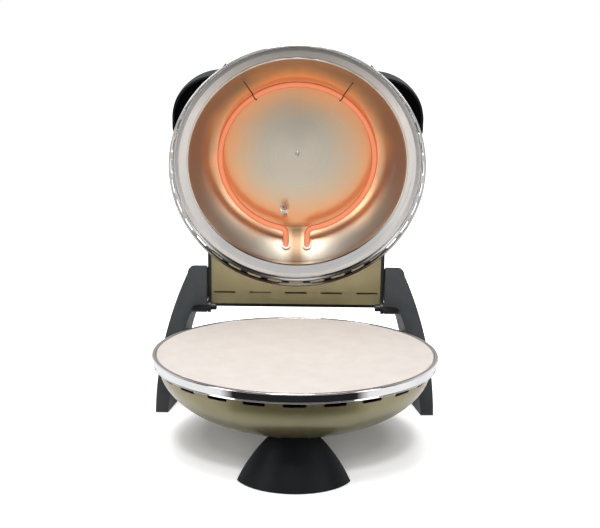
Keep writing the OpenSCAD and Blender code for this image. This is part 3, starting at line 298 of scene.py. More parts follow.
def redLens():
    material, tree, shader = startFinish("redLens", (0.5, 0.02, 0.01), 0.15, 0.0, Coat_Weight=0.5,
                                         Transmission_Weight=0.4)
    cloud = addNoise(tree, ownPoint(tree, lidFrame), 0.5, 2.0, 0.5)
    joinTo(tree, shader, Base_Color=addRamp(tree, cloud,
                                            [(0.3, (0.45, 0.015, 0.008)), (0.7, (0.62, 0.05, 0.02))]),
           Roughness=addRange(tree, cloud, 0.3, 0.7, 0.1, 0.2))
    return material


def clearLamp():
    material, tree, shader = startFinish("clearLamp", (0.95, 0.8, 0.6), 0.1, 0.0, Transmission_Weight=0.9)
    cloud = addNoise(tree, ownPoint(tree, lidFrame), 0.8, 2.0, 0.5)
    joinTo(tree, shader, Roughness=addRange(tree, cloud, 0.3, 0.7, 0.05, 0.15),
           Base_Color=addRamp(tree, cloud, [(0.3, (0.9, 0.72, 0.5)), (0.7, (1.0, 0.86, 0.7))]))
    return material


finish = {
    "stone": bakingStone(),
    "baseBright": polishedSteel("polishedBaseRing", baseFrame),
    "baseLand": brushedSteel("brushedLand", baseFrame, (0.2, 0.195, 0.185), (0.3, 0.29, 0.275), 0.34),
    # the lid ring carries a painted dark reflection towards the hinge, from 60 to 125 mm
    "lidBright": polishedSteel("polishedLidRing", lidFrame, 60.0, 125.0),
    # the flange carries painted shade towards the lid's front edge, from -140 to -60 mm
    "lidFlange": brushedSteel("brushedFlange", lidFrame, (0.8, 0.795, 0.78), (0.92, 0.915, 0.9), 0.3,
                              (-140.0, -60.0)),
    "liner": heatTintedLiner(),
    # One olive paint: the lid's copy is painted lighter than the bowl's, standing in for more light on the
    # lid
    "bowlPaint": olivePaint("oliveBowlPaint", baseFrame, (0.3, 0.262, 0.125), (0.37, 0.327, 0.165)),
    "lidPaintPaintedLighter": olivePaint("oliveLidPaintPaintedLighter", lidFrame, (0.5, 0.435, 0.23), (0.61, 0.53, 0.29)),
    "blackPlastic": moulded("satinBlackPlastic", (0.006, 0.007, 0.009), (0.011, 0.0125, 0.015), 0.45,
                            shine=0.15),
    "slatePlastic": moulded("slatePlastic", (0.04, 0.045, 0.05), (0.054, 0.06, 0.066), 0.42),
    "knobPlastic": moulded("knobPlastic", (0.01, 0.01, 0.011), (0.018, 0.018, 0.02), 0.34, 1.6, 0.1),
    "greyPlastic": moulded("greyPlastic", (0.36, 0.34, 0.3), (0.45, 0.43, 0.38), 0.5),
    "padRubber": moulded("padRubber", (0.012, 0.012, 0.012), (0.03, 0.03, 0.03), 0.75, 0.8, 0.3),
    "whiteCeramic": moulded("whiteCeramic", (0.76, 0.73, 0.66), (0.86, 0.84, 0.79), 0.45, 0.8, 0.12),
    "blackSteel": moulded("blackPaintedSteel", (0.01, 0.01, 0.011), (0.02, 0.02, 0.022), 0.38, 0.6, 0.1),
    "zinc": turnedMetal("zincScrew", (0.45, 0.45, 0.44), (0.66, 0.66, 0.65), 0.3),
    "steel": turnedMetal("turnedSteel", (0.34, 0.34, 0.35), (0.5, 0.5, 0.51), 0.32),
    "reflector": turnedMetal("reflectorSheet", (0.6, 0.6, 0.6), (0.78, 0.78, 0.78), 0.3, 0.6),
    "copper": turnedMetal("bulbCopper", (0.45, 0.22, 0.12), (0.66, 0.38, 0.24), 0.35),
    "coldSheath": turnedMetal("coldSheath", (0.09, 0.055, 0.04), (0.2, 0.12, 0.09), 0.5),
    "hotSheath": glowingSheath(),
    "lens": redLens(),
    "lamp": clearLamp(),
}
print("finishes made:", len(finish))


# ---- small helpers for shapes ----

def roundPath(points, closed=True, steps=4):
    # Points are (along, up, corner radius); each corner becomes a short arc
    path = []
    count = len(points)
    for i, (x, y, radius) in enumerate(points):
        here = Vector((x, y))
        if radius <= 0 or (not closed and i in (0, count - 1)):
            path.append(here)
            continue
        before = Vector(points[i - 1][:2]) - here
        after = Vector(points[(i + 1) % count][:2]) - here
        turn = before.angle(after)
        cut = min(radius / math.tan(turn / 2), 0.48 * before.length, 0.48 * after.length)
        start = here + before.normalized() * cut
        end = here + after.normalized() * cut
        for k in range(steps + 1):
            t = k / steps
            path.append((1 - t) ** 2 * start + 2 * t * (1 - t) * here + t * t * end)
    return path


def spin(bm, path, steps=192, closed=True, spot=None):
    # Turns a path round Z, with a UV map whose U runs round the piece
    layer = bm.loops.layers.uv.get("spin") or bm.loops.layers.uv.new("spin")
    lengths = [0.0]
    for a, b in zip(path, path[1:]):
        lengths.append(lengths[-1] + (Vector(b) - Vector(a)).length)
    rows = []
    for x, z in path:
        if abs(x) < 1e-6:
            rows.append([bm.verts.new((0, 0, z))] * steps)
        else:
            turns = [2 * math.pi * k / steps for k in range(steps)]
            rows.append([bm.verts.new((x * math.cos(a), x * math.sin(a), z)) for a in turns])
    made = list({v for row in rows for v in row})
    pairs = list(range(len(rows) - 1)) + ([len(rows) - 1] if closed else [])
    for i in pairs:
        j = (i + 1) % len(rows)
        vLow, vHigh = lengths[i] / 100, (lengths[j] if j else lengths[i] + 1) / 100
        for k in range(steps):
            m = (k + 1) % steps
            corners = [(rows[i][k], k, vLow), (rows[i][m], k + 1, vLow), (rows[j][m], k + 1, vHigh),
                       (rows[j][k], k, vHigh)]
            kept = []
            for corner in corners:
                if corner[0] not in [c[0] for c in kept]:
                    kept.append(corner)
            if len(kept) < 3:
                continue
            face = bm.faces.new([c[0] for c in kept])
            for loop, corner in zip(face.loops, kept):
                loop[layer].uv = (corner[1] / steps, corner[2])
    if spot is not None:
        bmesh.ops.transform(bm, matrix=spot, verts=made)
    return made


def addBlock(bm, low, high):
    corner = [(x, y, z) for x in (low[0], high[0]) for y in (low[1], high[1]) for z in (low[2], high[2])]
    verts = [bm.verts.new(c) for c in corner]
    for ring in ((0, 1, 3, 2), (4, 6, 7, 5), (0, 4, 5, 1), (2, 3, 7, 6), (0, 2, 6, 4), (1, 5, 7, 3)):
        bm.faces.new([verts[i] for i in ring])
    return verts


def addPrism(bm, line, low, high):
    # A plan outline raised from low to high
    rows = [[bm.verts.new((x, y, z)) for x, y in line] for z in (low, high)]
    for k in range(len(line)):
        bm.faces.new([rows[0][k - 1], rows[0][k], rows[1][k], rows[1][k - 1]])
    bm.faces.new(rows[0])
    bm.faces.new(rows[1])


def meshFrom(bm, name):
    mesh = bpy.data.meshes.new(name)
    bm.to_mesh(mesh)
    bm.free()
    return mesh


def linkObject(name, mesh):
    piece = bpy.data.objects.new(name, mesh)
    bpy.context.scene.collection.objects.link(piece)
    return piece


def bakeModifiers(piece):
    # The evaluated mesh becomes the piece's own, and no modifier is left
    graph = bpy.context.evaluated_depsgraph_get()
    mesh = bpy.data.meshes.new_from_object(piece.evaluated_get(graph), depsgraph=graph)
    piece.modifiers.clear()
    old = piece.data
    piece.data = mesh
    bpy.data.meshes.remove(old)


def breakEdges(piece, width, **limit):
    edge = piece.modifiers.new("edge", "BEVEL")
    edge.width = width * mm
    edge.segments = 3
    for key, value in limit.items():
        setattr(edge, key, value)
    bakeModifiers(piece)


def shapeObject(bm, name, spot):
    # A plain closed shape in place, for cutting, joining or repeating
    bmesh.ops.recalc_face_normals(bm, faces=bm.faces)
    bmesh.ops.transform(bm, matrix=Matrix.Scale(mm, 4) @ spot, verts=bm.verts)
    return linkObject(name, meshFrom(bm, name))


def carve(piece, cutter, operation="DIFFERENCE"):
    cut = piece.modifiers.new("cut", "BOOLEAN")
    cut.object, cut.solver, cut.operation = cutter, "EXACT", operation
    bakeModifiers(piece)
    bpy.data.objects.remove(cutter)


def dressPiece(piece, materials, body, stands, sharp=35.0):
    # Gives a finished mesh its materials, shading and body, and hides the solids that it stands for
    for material in materials:
        piece.data.materials.append(finish[material])
    piece.data.shade_smooth()
    piece.data.set_sharp_from_angle(angle=math.radians(sharp))
    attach(piece, body)
    if stands:
        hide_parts(*stands)
    return piece


def makePiece(bm, name, spot, materials, body, stands, sharp=35.0, bevel=0.0, facing=None):
    bmesh.ops.remove_doubles(bm, verts=bm.verts, dist=0.002)
    bmesh.ops.recalc_face_normals(bm, faces=bm.faces)
    bmesh.ops.transform(bm, matrix=Matrix.Scale(mm, 4) @ spot, verts=bm.verts)
    if facing:
        back = (Matrix.Scale(mm, 4) @ spot).inverted()
        for face in bm.faces:
            aim = (back.to_3x3() @ face.normal).normalized()
            face.material_index = facing(back @ face.calc_center_median(), aim)
    piece = linkObject(name, meshFrom(bm, name))
    if bevel:
        breakEdges(piece, bevel, limit_method="ANGLE", angle_limit=math.radians(40))
    return dressPiece(piece, materials, body, stands, sharp)


def softened(node, name, materials, body, bevel, pick=None, sharp=35.0, flat=0.6):
    # A copy of a rigid solid with its edges broken, as a pressing or moulding has them
    bm = bmesh.new()
    bm.from_mesh(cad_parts[node].data)
    bmesh.ops.remove_doubles(bm, verts=bm.verts, dist=1e-6)
    bmesh.ops.dissolve_limit(bm, angle_limit=math.radians(flat), verts=bm.verts, edges=bm.edges)
    weights = bm.edges.layers.float.new("bevel_weight_edge")
    for edge in bm.edges:
        if len(edge.link_faces) == 2 and edge.calc_face_angle(0) > math.radians(35):
            edge[weights] = pick(edge) if pick else 1.0
    piece = linkObject(name, meshFrom(bm, name))
    breakEdges(piece, bevel, limit_method="WEIGHT")
    return dressPiece(piece, materials, body, [node], sharp)


# ---- Geometry Nodes trees ----

def startTree(name, inputs):
    tree = bpy.data.node_groups.new(name, "GeometryNodeTree")
    tree.interface.new_socket("Geometry", in_out="INPUT", socket_type="NodeSocketGeometry")
    for label, kind in inputs:
        tree.interface.new_socket(label, in_out="INPUT", socket_type=kind)
    tree.interface.new_socket("Geometry", in_out="OUTPUT", socket_type="NodeSocketGeometry")
    return tree, tree.nodes.new("NodeGroupInput"), tree.nodes.new("NodeGroupOutput")


def endTree(tree, geometry, source, output):
    real = addNode(tree, "GeometryNodeRealizeInstances", {"Geometry": geometry})
    joined = addNode(tree, "GeometryNodeMergeByDistance", {"Geometry": real.outputs[0], "Distance": 0.000004})
    done = addNode(tree, "GeometryNodeSetMaterial",
                   {"Geometry": joined.outputs[0], "Material": source.outputs["Material"]})
    tree.links.new(done.outputs[0], output.inputs[0])
    return tree


def runTree(tree, carrier, values):
    # Sets a tree's inputs by their identifiers and gives the finished mesh
    modifier = carrier.modifiers.new("tree", "NODES")
    modifier.node_group = tree
    names = {item.name: item.identifier for item in tree.interface.items_tree if item.in_out == "INPUT"}
    for label, value in values.items():
        modifier[names[label]] = value
    graph = bpy.context.evaluated_depsgraph_get()
    mesh = bpy.data.meshes.new_from_object(carrier.evaluated_get(graph), depsgraph=graph)
    carrier.modifiers.clear()
    bpy.data.objects.remove(carrier)
    return mesh


def ringTree():
    # One cell of a round wall, repeated round Z
    tree, source, output = startTree("cellsRoundAnAxis",
                                     [("Count", "NodeSocketInt"), ("Material", "NodeSocketMaterial")])
    points = addNode(tree, "GeometryNodePoints", {"Count": source.outputs["Count"]})
    index = addNode(tree, "GeometryNodeInputIndex").outputs[0]
    step = addMath(tree, "DIVIDE", 2 * math.pi, source.outputs["Count"])
    turn = addNode(tree, "ShaderNodeCombineXYZ", {"Z": addMath(tree, "MULTIPLY", index, step)})
    keys = {"Points": points.outputs[0], "Instance": source.outputs["Geometry"], "Rotation": turn.outputs[0]}
    cells = addNode(tree, "GeometryNodeInstanceOnPoints", keys)
    return endTree(tree, cells.outputs[0], source, output)


def fastenerTree():
    # A fastener stood on each point of the carrier, along its aim
    tree, source, output = startTree("fastenersOnPoints",
                                     [("Fastener", "NodeSocketObject"), ("Material", "NodeSocketMaterial")])
    shape = addNode(tree, "GeometryNodeObjectInfo", {"Object": source.outputs["Fastener"]})
    aim = addNode(tree, "GeometryNodeInputNamedAttribute", {"Name": "aim"}, data_type="FLOAT_VECTOR")
    turn = addNode(tree, "FunctionNodeAlignRotationToVector", {"Vector": aim.outputs[0]}, axis="Z")
    keys = {"Points": source.outputs["Geometry"], "Instance": shape.outputs["Geometry"],
            "Rotation": turn.outputs[0]}
    stood = addNode(tree, "GeometryNodeInstanceOnPoints", keys)
    return endTree(tree, stood.outputs[0], source, output)


def tubeTree():
    # A round tube or wire along the carrier's edges
    inputs = [("Radius", "NodeSocketFloat"), ("Sides", "NodeSocketInt"), ("Material", "NodeSocketMaterial")]
    tree, source, output = startTree("tubeAlongPath", inputs)
    path = addNode(tree, "GeometryNodeMeshToCurve", {"Mesh": source.outputs["Geometry"]})
    keys = {"Radius": source.outputs["Radius"], "Resolution": source.outputs["Sides"]}
    ring = addNode(tree, "GeometryNodeCurvePrimitiveCircle", keys, mode="RADIUS")
    keys = {"Curve": path.outputs[0], "Profile Curve": ring.outputs[0], "Fill Caps": True}
    tube = addNode(tree, "GeometryNodeCurveToMesh", keys)
    return endTree(tree, tube.outputs[0], source, output)


def slotTree():
    # A row of slots cut through a sheet
    inputs = [("Cutter", "NodeSocketObject"), ("Count", "NodeSocketInt"), ("Pitch", "NodeSocketVector"),
              ("Start", "NodeSocketVector"), ("Material", "NodeSocketMaterial")]
    tree, source, output = startTree("slotsInARow", inputs)
    keys = {"Count": source.outputs["Count"], "Start Location": source.outputs["Start"],
            "Offset": source.outputs["Pitch"]}
    line = addNode(tree, "GeometryNodeMeshLine", keys, mode="OFFSET")
    shape = addNode(tree, "GeometryNodeObjectInfo", {"Object": source.outputs["Cutter"]})
    keys = {"Points": line.outputs[0], "Instance": shape.outputs["Geometry"]}
    row = addNode(tree, "GeometryNodeInstanceOnPoints", keys)
    solid = addNode(tree, "GeometryNodeRealizeInstances", {"Geometry": row.outputs[0]})
    keys = {"Mesh 1": source.outputs["Geometry"], "Mesh 2": solid.outputs[0]}
    cut = addNode(tree, "GeometryNodeMeshBoolean", keys, operation="DIFFERENCE")
    return endTree(tree, cut.outputs[0], source, output)


cellsRoundAnAxis = ringTree()
fastenersOnPoints = fastenerTree()
tubeAlongPath = tubeTree()
slotsInARow = slotTree()


def meshPiece(mesh, name, body, stands, sharp=35.0):
    # Dresses a mesh that a tree has made, already in place and with its material
    mesh.name = name
    return dressPiece(linkObject(name, mesh), [], body, stands, sharp)


def slottedRing(cell, count, material, spot):
    # Runs one cell of a slotted wall round its axis and returns the whole wall in millimetres
    bmesh.ops.transform(cell, matrix=Matrix.Scale(mm, 4), verts=cell.verts)
    values = {"Count": count, "Material": finish[material]}
    ring = runTree(cellsRoundAnAxis, linkObject("cell", meshFrom(cell, "cell")), values)
    whole = bmesh.new()
    whole.from_mesh(ring)
    bmesh.ops.transform(whole, matrix=Matrix.Scale(1 / mm, 4), verts=whole.verts)
    return whole


def slottedCell(surface, span, slotLength, slotHeight, slotPlace, above, below, radius, wall):
    # One sector of a round wall with a round-ended slot. surface(turn, drop, depth) gives a point on it;
    # above and below are the drops of the rows of faces over and under the slot's own patch
    bm = bmesh.new()
    layer = bm.loops.layers.uv.new("spin")
    columns, ends, rings = 10, 6, 3
    straight = (slotLength - slotHeight) / 2
    half = slotHeight / 2
    patch = (above[-1], below[0])  # the patch round the slot runs from the first drop to the second

    slotLine, patchLine = [], []
    for k in range(columns):  # along the upper edge
        t = k / columns
        slotLine.append((-straight + 2 * straight * t, slotPlace - half))
        patchLine.append((-0.5 + t, patch[0]))
    for k in range(ends):
        a = -math.pi / 2 + math.pi * k / ends
        slotLine.append((straight + half * math.cos(a), slotPlace + half * math.sin(a)))
        patchLine.append((0.5, patch[0] + (patch[1] - patch[0]) * k / ends))
    for k in range(columns):
        t = k / columns
        slotLine.append((straight - 2 * straight * t, slotPlace + half))
        patchLine.append((0.5 - t, patch[1]))
    for k in range(ends):
        a = math.pi / 2 + math.pi * k / ends
        slotLine.append((-straight + half * math.cos(a), slotPlace + half * math.sin(a)))
        patchLine.append((-0.5, patch[1] - (patch[1] - patch[0]) * k / ends))

    def put(turn, drop, depth):
        return (bm.verts.new(surface(turn, drop, depth)), turn / (2 * math.pi), drop / 100)

    def fill(corners):
        face = bm.faces.new([c[0] for c in corners])
        for loop, corner in zip(face.loops, corners):
            loop[layer].uv = corner[1:]

    total = len(slotLine)
    edges = []
    for depth in (0.0, wall):
        loops = []
        for k in range(rings + 1):
            t = k / rings
            line = []
            for (x, drop), (u, edgeDrop) in zip(slotLine, patchLine):
                line.append(put((x / radius) * (1 - t) + u * span * t, drop * (1 - t) + edgeDrop * t, depth))
            loops.append(line)
        for inner, outer in zip(loops, loops[1:]):
            for k in range(total):
                m = (k + 1) % total
                fill([inner[k], inner[m], outer[m], outer[k]])
        for drops in (above, below):
            rows = [[put((-0.5 + k / columns) * span, drop, depth) for k in range(columns + 1)]
                    for drop in drops]
            for upper, lower in zip(rows, rows[1:]):
                for k in range(columns):
                    fill([upper[k], upper[k + 1], lower[k + 1], lower[k]])
            edges.append(rows)
        edges.append(loops[0])
    for k in range(total):  # the slot's own edge, and the wall's two rims
        m = (k + 1) % total
        fill([edges[2][k], edges[2][m], edges[5][m], edges[5][k]])
    for k in range(columns):
        fill([edges[0][0][k], edges[0][0][k + 1], edges[3][0][k + 1], edges[3][0][k]])
        fill([edges[1][-1][k], edges[1][-1][k + 1], edges[4][-1][k + 1], edges[4][-1][k]])
    bmesh.ops.remove_doubles(bm, verts=bm.verts, dist=0.002)
    return bm


def pathObject(points):
    mesh = bpy.data.meshes.new("path")
    pairs = [(i, i + 1) for i in range(len(points) - 1)]
    mesh.from_pydata([Vector(p) * mm for p in points], pairs, [])
    return linkObject("path", mesh)


def tube(paths, diameter, sides, material, spot):
    # Tubes along paths given in the piece's own frame
    whole = bmesh.new()
    for points in paths:
        placed = [spot @ Vector(p) for p in points]
        values = {"Radius": diameter / 2 * mm, "Sides": sides, "Material": finish[material]}
        whole.from_mesh(runTree(tubeAlongPath, pathObject(placed), values))
    bmesh.ops.recalc_face_normals(whole, faces=whole.faces)
    mesh = meshFrom(whole, "tube")
    mesh.materials.append(finish[material])
    return mesh


# ---- base ----

stone = {"radius": 155.0, "thick": 11.0, "edge": 1.2}
bm = bmesh.new()
spin(bm, roundPath([(0, -stone["thick"], 0), (stone["radius"], -stone["thick"], stone["edge"]),
                    (stone["radius"], 0, stone["edge"]), (0, 0, 0)]), closed=False)
makePiece(bm, "bakingStone", baseFrame, ["stone"], "base", ["pizza_stone"], sharp=50)

rim = {"inner": 145.0, "hole": 155.5, "outer": 160.25, "lean": 2.6, "ledge": -12.0, "sheet": 1.0, "lip": 1.5}
bandFoot = rim["ledge"] + rim["sheet"] / 2
band = rim["outer"] - rim["lean"]
bm = bmesh.new()
spin(bm, roundPath([
    (rim["inner"], rim["ledge"], 0.3), (rim["hole"] + 1, rim["ledge"], 0.8), (rim["hole"] + 1, -1, 0.3),
    (rim["outer"] - 1, -1, 0.5), (band - 1, bandFoot + rim["lip"], 0.5), (band - 0.5, bandFoot, 0.2),
    (band + 1, bandFoot, 0.4), (band + 0.1, bandFoot + rim["lip"], 0.5), (rim["outer"] - 0.1, -1.3, 1.0),
    (rim["outer"] - 1, 0, 0.6), (rim["hole"], 0, 0.5), (rim["hole"], -11, 0.3), (rim["inner"], -11, 0.3)]),
     steps=256)
makePiece(bm, "baseRing", baseFrame, ["baseBright", "baseLand"], "base", ["base_rim_ring"],
          facing=lambda spot, aim: 1 if aim.z > 0.85 and spot.z > -0.6 else 0)

bowl = {"radius": 152.0, "deep": 71.0, "flat": 34.0, "wall": 1.2, "slots": 22, "slotLength": 25.0,
        "slotHeight": 4.0, "slotDrop": 3.5, "tabs": 4}
bowlCurve = bowl["deep"] / math.sqrt(1 - (bowl["flat"] / bowl["radius"]) ** 2)
bowlTop = rim["ledge"]


def bowlPoint(turn, drop, depth):
    # drop runs down the wall in mm, then from deep to deep + 1 across the flat bottom
    if drop <= bowl["deep"]:
        a = math.asin(drop / bowlCurve)
        radius, height = (bowl["radius"] - depth) * math.cos(a), bowlTop - (bowlCurve - depth) * math.sin(a)
    else:
        radius, height = bowl["flat"] * (1 - (drop - bowl["deep"])), bowlTop - bowl["deep"] + depth
    a = turn - math.pi / 2
    return Vector((radius * math.cos(a), radius * math.sin(a), height))


bowlEnd = math.asin(bowl["deep"] / bowlCurve)
rowStart = math.asin(8.0 / bowlCurve)
below = [bowlCurve * math.sin(rowStart + (bowlEnd - rowStart) * k / 22) for k in range(22)] + [bowl["deep"]]
below += [bowl["deep"] + t for t in (0.05, 0.15, 0.35, 0.65, 0.97)]
cell = slottedCell(bowlPoint, 2 * math.pi / bowl["slots"], bowl["slotLength"], bowl["slotHeight"],
                   bowl["slotDrop"], [0.0, 0.9], below, bowl["radius"], bowl["wall"])
bm = slottedRing(cell, bowl["slots"], "bowlPaint", baseFrame)
for k in range(bowl["tabs"]):  # screw tabs under the ring
    turn = Matrix.Rotation(math.radians(45 + 90 * k), 4, "Z")
    verts = addBlock(bm, (141.9, -4.5, bowlTop - 2.2), (150.6, 4.5, bowlTop - 0.8))
    bmesh.ops.transform(bm, matrix=turn, verts=verts)
hub = bowl["flat"] * (1 - 0.97) + 0.05  # closes the flat bottom inside its last row of faces
bottom = bowlTop - bowl["deep"]
spin(bm, [(0, bottom), (hub, bottom), (hub, bottom + bowl["wall"]), (0, bottom + bowl["wall"])], steps=24,
     closed=False)
makePiece(bm, "bowlShell", baseFrame, ["bowlPaint"], "base", ["base_bowl"], sharp=40)
print("stone, ring and bowl made")

foot = {"radius": 67.0, "cut": 22.5, "forward": 53.5, "upperRadius": 33.0, "upperHeight": 56.0, "bulge": 3.0,
        "gap": 1.0, "columns": 56, "rows": 26}
footFrame = Matrix.Translation((0, maker["bowlBack"] - foot["forward"], 0))


def footRadius(height):
    # The foot's bowed side line
    t = height / foot["upperHeight"]
    return foot["radius"] + t * (foot["upperRadius"] - foot["radius"]) + 4 * foot["bulge"] * t * (1 - t)


def bowlSkin(x, y):
    # Height of the bowl's outside over a point of the foot
    radius = math.hypot(x, y - foot["forward"])
    rise = 1 - (min(radius, bowl["radius"]) / bowl["radius"]) ** 2
    return maker["rimHeight"] + bowlTop - min(bowl["deep"], bowlCurve * math.sqrt(rise))


def footPoint(side, height):
    # side runs from -1 to 1 along the front arc
    radius = footRadius(height)
    a = side * math.acos(foot["cut"] / radius)
    return radius * math.sin(a), -radius * math.cos(a)


def footTop(place):
    low, high = 30.0, 70.0
    for k in range(30):
        mid = (low + high) / 2
        x, y = place(mid)
        if mid < bowlSkin(x, y):
            low = mid
        else:
            high = mid
    return high


bm = bmesh.new()
front = [lambda h, side=-1 + 2 * k / foot["columns"]: footPoint(side, h) for k in range(foot["columns"] + 1)]
back = [lambda h, t=1 - 2 * k / 24: (t * math.sqrt(footRadius(h) ** 2 - foot["cut"] ** 2), -foot["cut"])
        for k in range(1, 24)]
walls = front + back
tops = [footTop(place) for place in walls]
grid = []
for k in range(foot["rows"] + 1):
    t = k / foot["rows"]
    row = []
    for place, top in zip(walls, tops):
        height = foot["gap"] + (top + 0.4 - foot["gap"]) * t
        x, y = place(height)
        row.append(bm.verts.new((x, y, height)))
    grid.append(row)
count = len(walls)
for low, high in zip(grid, grid[1:]):
    for k in range(count):
        m = (k + 1) % count
        bm.faces.new([low[k], low[m], high[m], high[k]])
bm.faces.new(list(reversed(grid[0])))
crown = bm.verts.new((0, -foot["cut"] - 5, bowlSkin(0, -foot["cut"] - 5) + 0.4))
for k in range(count):
    bm.faces.new([grid[-1][k], grid[-1][(k + 1) % count], crown])
makePiece(bm, "frontFoot", footFrame, ["blackPlastic"], "base", ["front_foot"], bevel=0.9,
          sharp=40)

pad = {"radius": 5.0, "tall": 1.0, "aside": 162.7, "lean": 10.0}


def padPlaces():
    places = [(0, -55.0), (-46.9, -30.5), (46.9, -30.5)]
    spots = [(x, y + maker["bowlBack"] - foot["forward"]) for x, y in places]
    for side in (-1, 1):
        for y in (10.0, 80.0):  # under each leg, following its lean
            x = pad["aside"] - y * math.tan(math.radians(pad["lean"]))
            spots.append((side * x, maker["bowlBack"] + 165 + y))
    return spots


bm = bmesh.new()
padPath = [(0, 0, 0), (pad["radius"], 0, 0.35), (pad["radius"], pad["tall"], 0), (0, pad["tall"], 0)]
spin(bm, roundPath(padPath, steps=3), steps=28, closed=False)
padShape = shapeObject(bm, "pad", floorFrame)


def fasteners(shape, places, material):
    # places are (point, aim) in metres, in place
    mesh = bpy.data.meshes.new("places")
    mesh.from_pydata([point for point, aim in places], [], [])
    aims = mesh.attributes.new("aim", "FLOAT_VECTOR", "POINT")
    for item, (point, aim) in zip(aims.data, places):
        item.vector = aim
    return runTree(fastenersOnPoints, linkObject("places", mesh),
                   {"Fastener": shape, "Material": finish[material]})


up = Vector((0, 0, 1))
pads = fasteners(padShape, [(Vector((x, y, 0)) * mm, up) for x, y in padPlaces()], "padRubber")
meshPiece(pads, "footPads", "base", ["foot_pads"])
bpy.data.objects.remove(padShape)
print("front foot and pads made")

# ---- legs and bracket ----

legFront = (maker["bowlBack"] + 165) * mm
for side in ("left", "right"):
    softened(f"leg_{side}", f"leg{side.capitalize()}", ["slatePlastic"], "base", 2.4,
             pick=lambda e: 1.0 if all(v.co.y < legFront + 1e-5 for v in e.verts) else 0.0)
softened("rear_bracket", "rearBracket", ["blackSteel"], "base", 0.5,
         pick=lambda e: 1.0 if all(v.co.y > legFront for v in e.verts) else 0.0)
print("legs made")

# ---- lid ----

lid = {"radius": 151.0, "gap": 2.0, "crease": 147.0, "creaseUp": 15.5, "seat": 140.5, "domeUp": 16.5,
           "flangeIn": 131.4, "flangeUp": 19.5, "sheet": 1.0, "bead": 1.0, "slots": 36, "slotLength": 18.0,
           "slotHeight": 4.5}
skirtLow, skirtHigh = lid["gap"] + lid["bead"], lid["domeUp"]
skirtTall = skirtHigh - skirtLow


def skirtPoint(turn, drop, depth):
    t = drop / skirtTall
    radius = lid["crease"] + (lid["radius"] - lid["crease"]) * t - depth
    a = turn - math.pi / 2
    return Vector((radius * math.cos(a), radius * math.sin(a), skirtHigh - drop))


slotMiddle = skirtHigh - (lid["gap"] + 13.5 / 2)
cell = slottedCell(skirtPoint, 2 * math.pi / lid["slots"], lid["slotLength"], lid["slotHeight"], slotMiddle,
                   [0.6, slotMiddle - 3.4], [slotMiddle + 3.4, skirtTall], lid["radius"] - 2, lid["sheet"])
bm = slottedRing(cell, lid["slots"], "lidBright", lidFrame)
spin(bm, roundPath([
    (lid["crease"] - 1.15, skirtHigh - 1.9, 0.3), (lid["crease"] - 1.5, lid["creaseUp"], 0.7),
    (lid["seat"], lid["creaseUp"], 1.5), (lid["flangeIn"], lid["flangeUp"], 0),
    (lid["flangeIn"], lid["flangeUp"] + 1, 0), (lid["seat"], lid["domeUp"], 1.5),
    (lid["crease"] - 0.1, skirtHigh, 0.9), (lid["crease"] + 0.1, skirtHigh - 0.9, 0)]), steps=256)
turns = [2 * math.pi * k / 16 for k in range(16)]
beadPath = [(lid["radius"] - 0.5 + math.cos(a), skirtLow + math.sin(a)) for a in turns]
spin(bm, beadPath, steps=256)
makePiece(bm, "lidRing", lidFrame, ["lidBright", "lidFlange"], "lid", ["lid_rim_ring"], sharp=40,
          facing=lambda spot, aim: 1 if spot.xy.length < lid["crease"] - 2.6 and aim.z < 0 else 0)

dome = {"radius": 146.0, "tall": 58.0, "wall": 1.2, "hem": 5.0}


def domeLine(inset, steps):
    radius, tall = dome["radius"] - inset, dome["tall"] - inset
    turns = [math.pi / 2 * k / 40 for k in steps]
    return [(radius * math.cos(a), lid["domeUp"] + tall * math.sin(a)) for a in turns]


wallIn, hemIn = dome["radius"] - dome["wall"], dome["radius"] - dome["hem"]
hemUp = lid["domeUp"] + dome["wall"]
outside = domeLine(0, range(40)) + [(0, lid["domeUp"] + dome["tall"])]
inside = [(0, lid["domeUp"] + dome["tall"] - dome["wall"])] + domeLine(dome["wall"], range(39, 0, -1))
hem = [(wallIn, hemUp), (hemIn, hemUp), (hemIn, lid["domeUp"])]
bm = bmesh.new()
spin(bm, outside + inside + hem, steps=192)
makePiece(bm, "lidDome", lidFrame, ["lidPaintPaintedLighter"], "lid", ["lid_dome"])

liner = {"lip": 130.2, "floorRadius": 96.0, "floorUp": 56.0, "bellyIn": 14.3, "bellyDown": 13.75, "wall": 0.8,
         "bead": 1.0}


def linerPoint(t, out):
    first = Vector((liner["lip"] + out, lid["flangeUp"]))
    middle = Vector((liner["lip"] - liner["bellyIn"] + out * 0.7,
                     liner["floorUp"] - liner["bellyDown"] + out * 0.7))
    last = Vector((liner["floorRadius"], liner["floorUp"] + out))
    return (1 - t) ** 2 * first + 2 * t * (1 - t) * middle + t * t * last


wallSteps = 20
path = [(0, liner["floorUp"]), (60, liner["floorUp"]), (92, liner["floorUp"])]
path += [tuple(linerPoint(1 - k / wallSteps, 0)) for k in range(wallSteps + 1)]
turns = [math.radians(200 + 20 * k) for k in range(12)]
path = path[:-1] + [(liner["lip"] + math.cos(a), lid["flangeUp"] + math.sin(a)) for a in turns]  # rolled bead
flange = [(liner["lip"] + 0.8, 1.6), (lid["flangeIn"], 1.1), (lid["flangeIn"] + 5, -1.1),
          (lid["flangeIn"] + 5, -0.3), (lid["flangeIn"], 1.8), (liner["lip"] + 0.8, 2.2)]
path += [(radius, lid["flangeUp"] + rise) for radius, rise in flange]
path += [tuple(linerPoint(k / wallSteps, liner["wall"])) for k in range(4, wallSteps + 1)]
path += [(0, liner["floorUp"] + liner["wall"])]
bm = bmesh.new()
spin(bm, path, steps=256, closed=False)
makePiece(bm, "lidLiner", lidFrame, ["liner"], "lid", ["lid_liner"], sharp=30)
print("lid ring, dome and liner made")

heater = {"radius": 92.0, "up": 40.0, "tube": 7.2, "endX": 13.0, "bend": 9.0, "bushY": 113.8, "tail": 11.0}


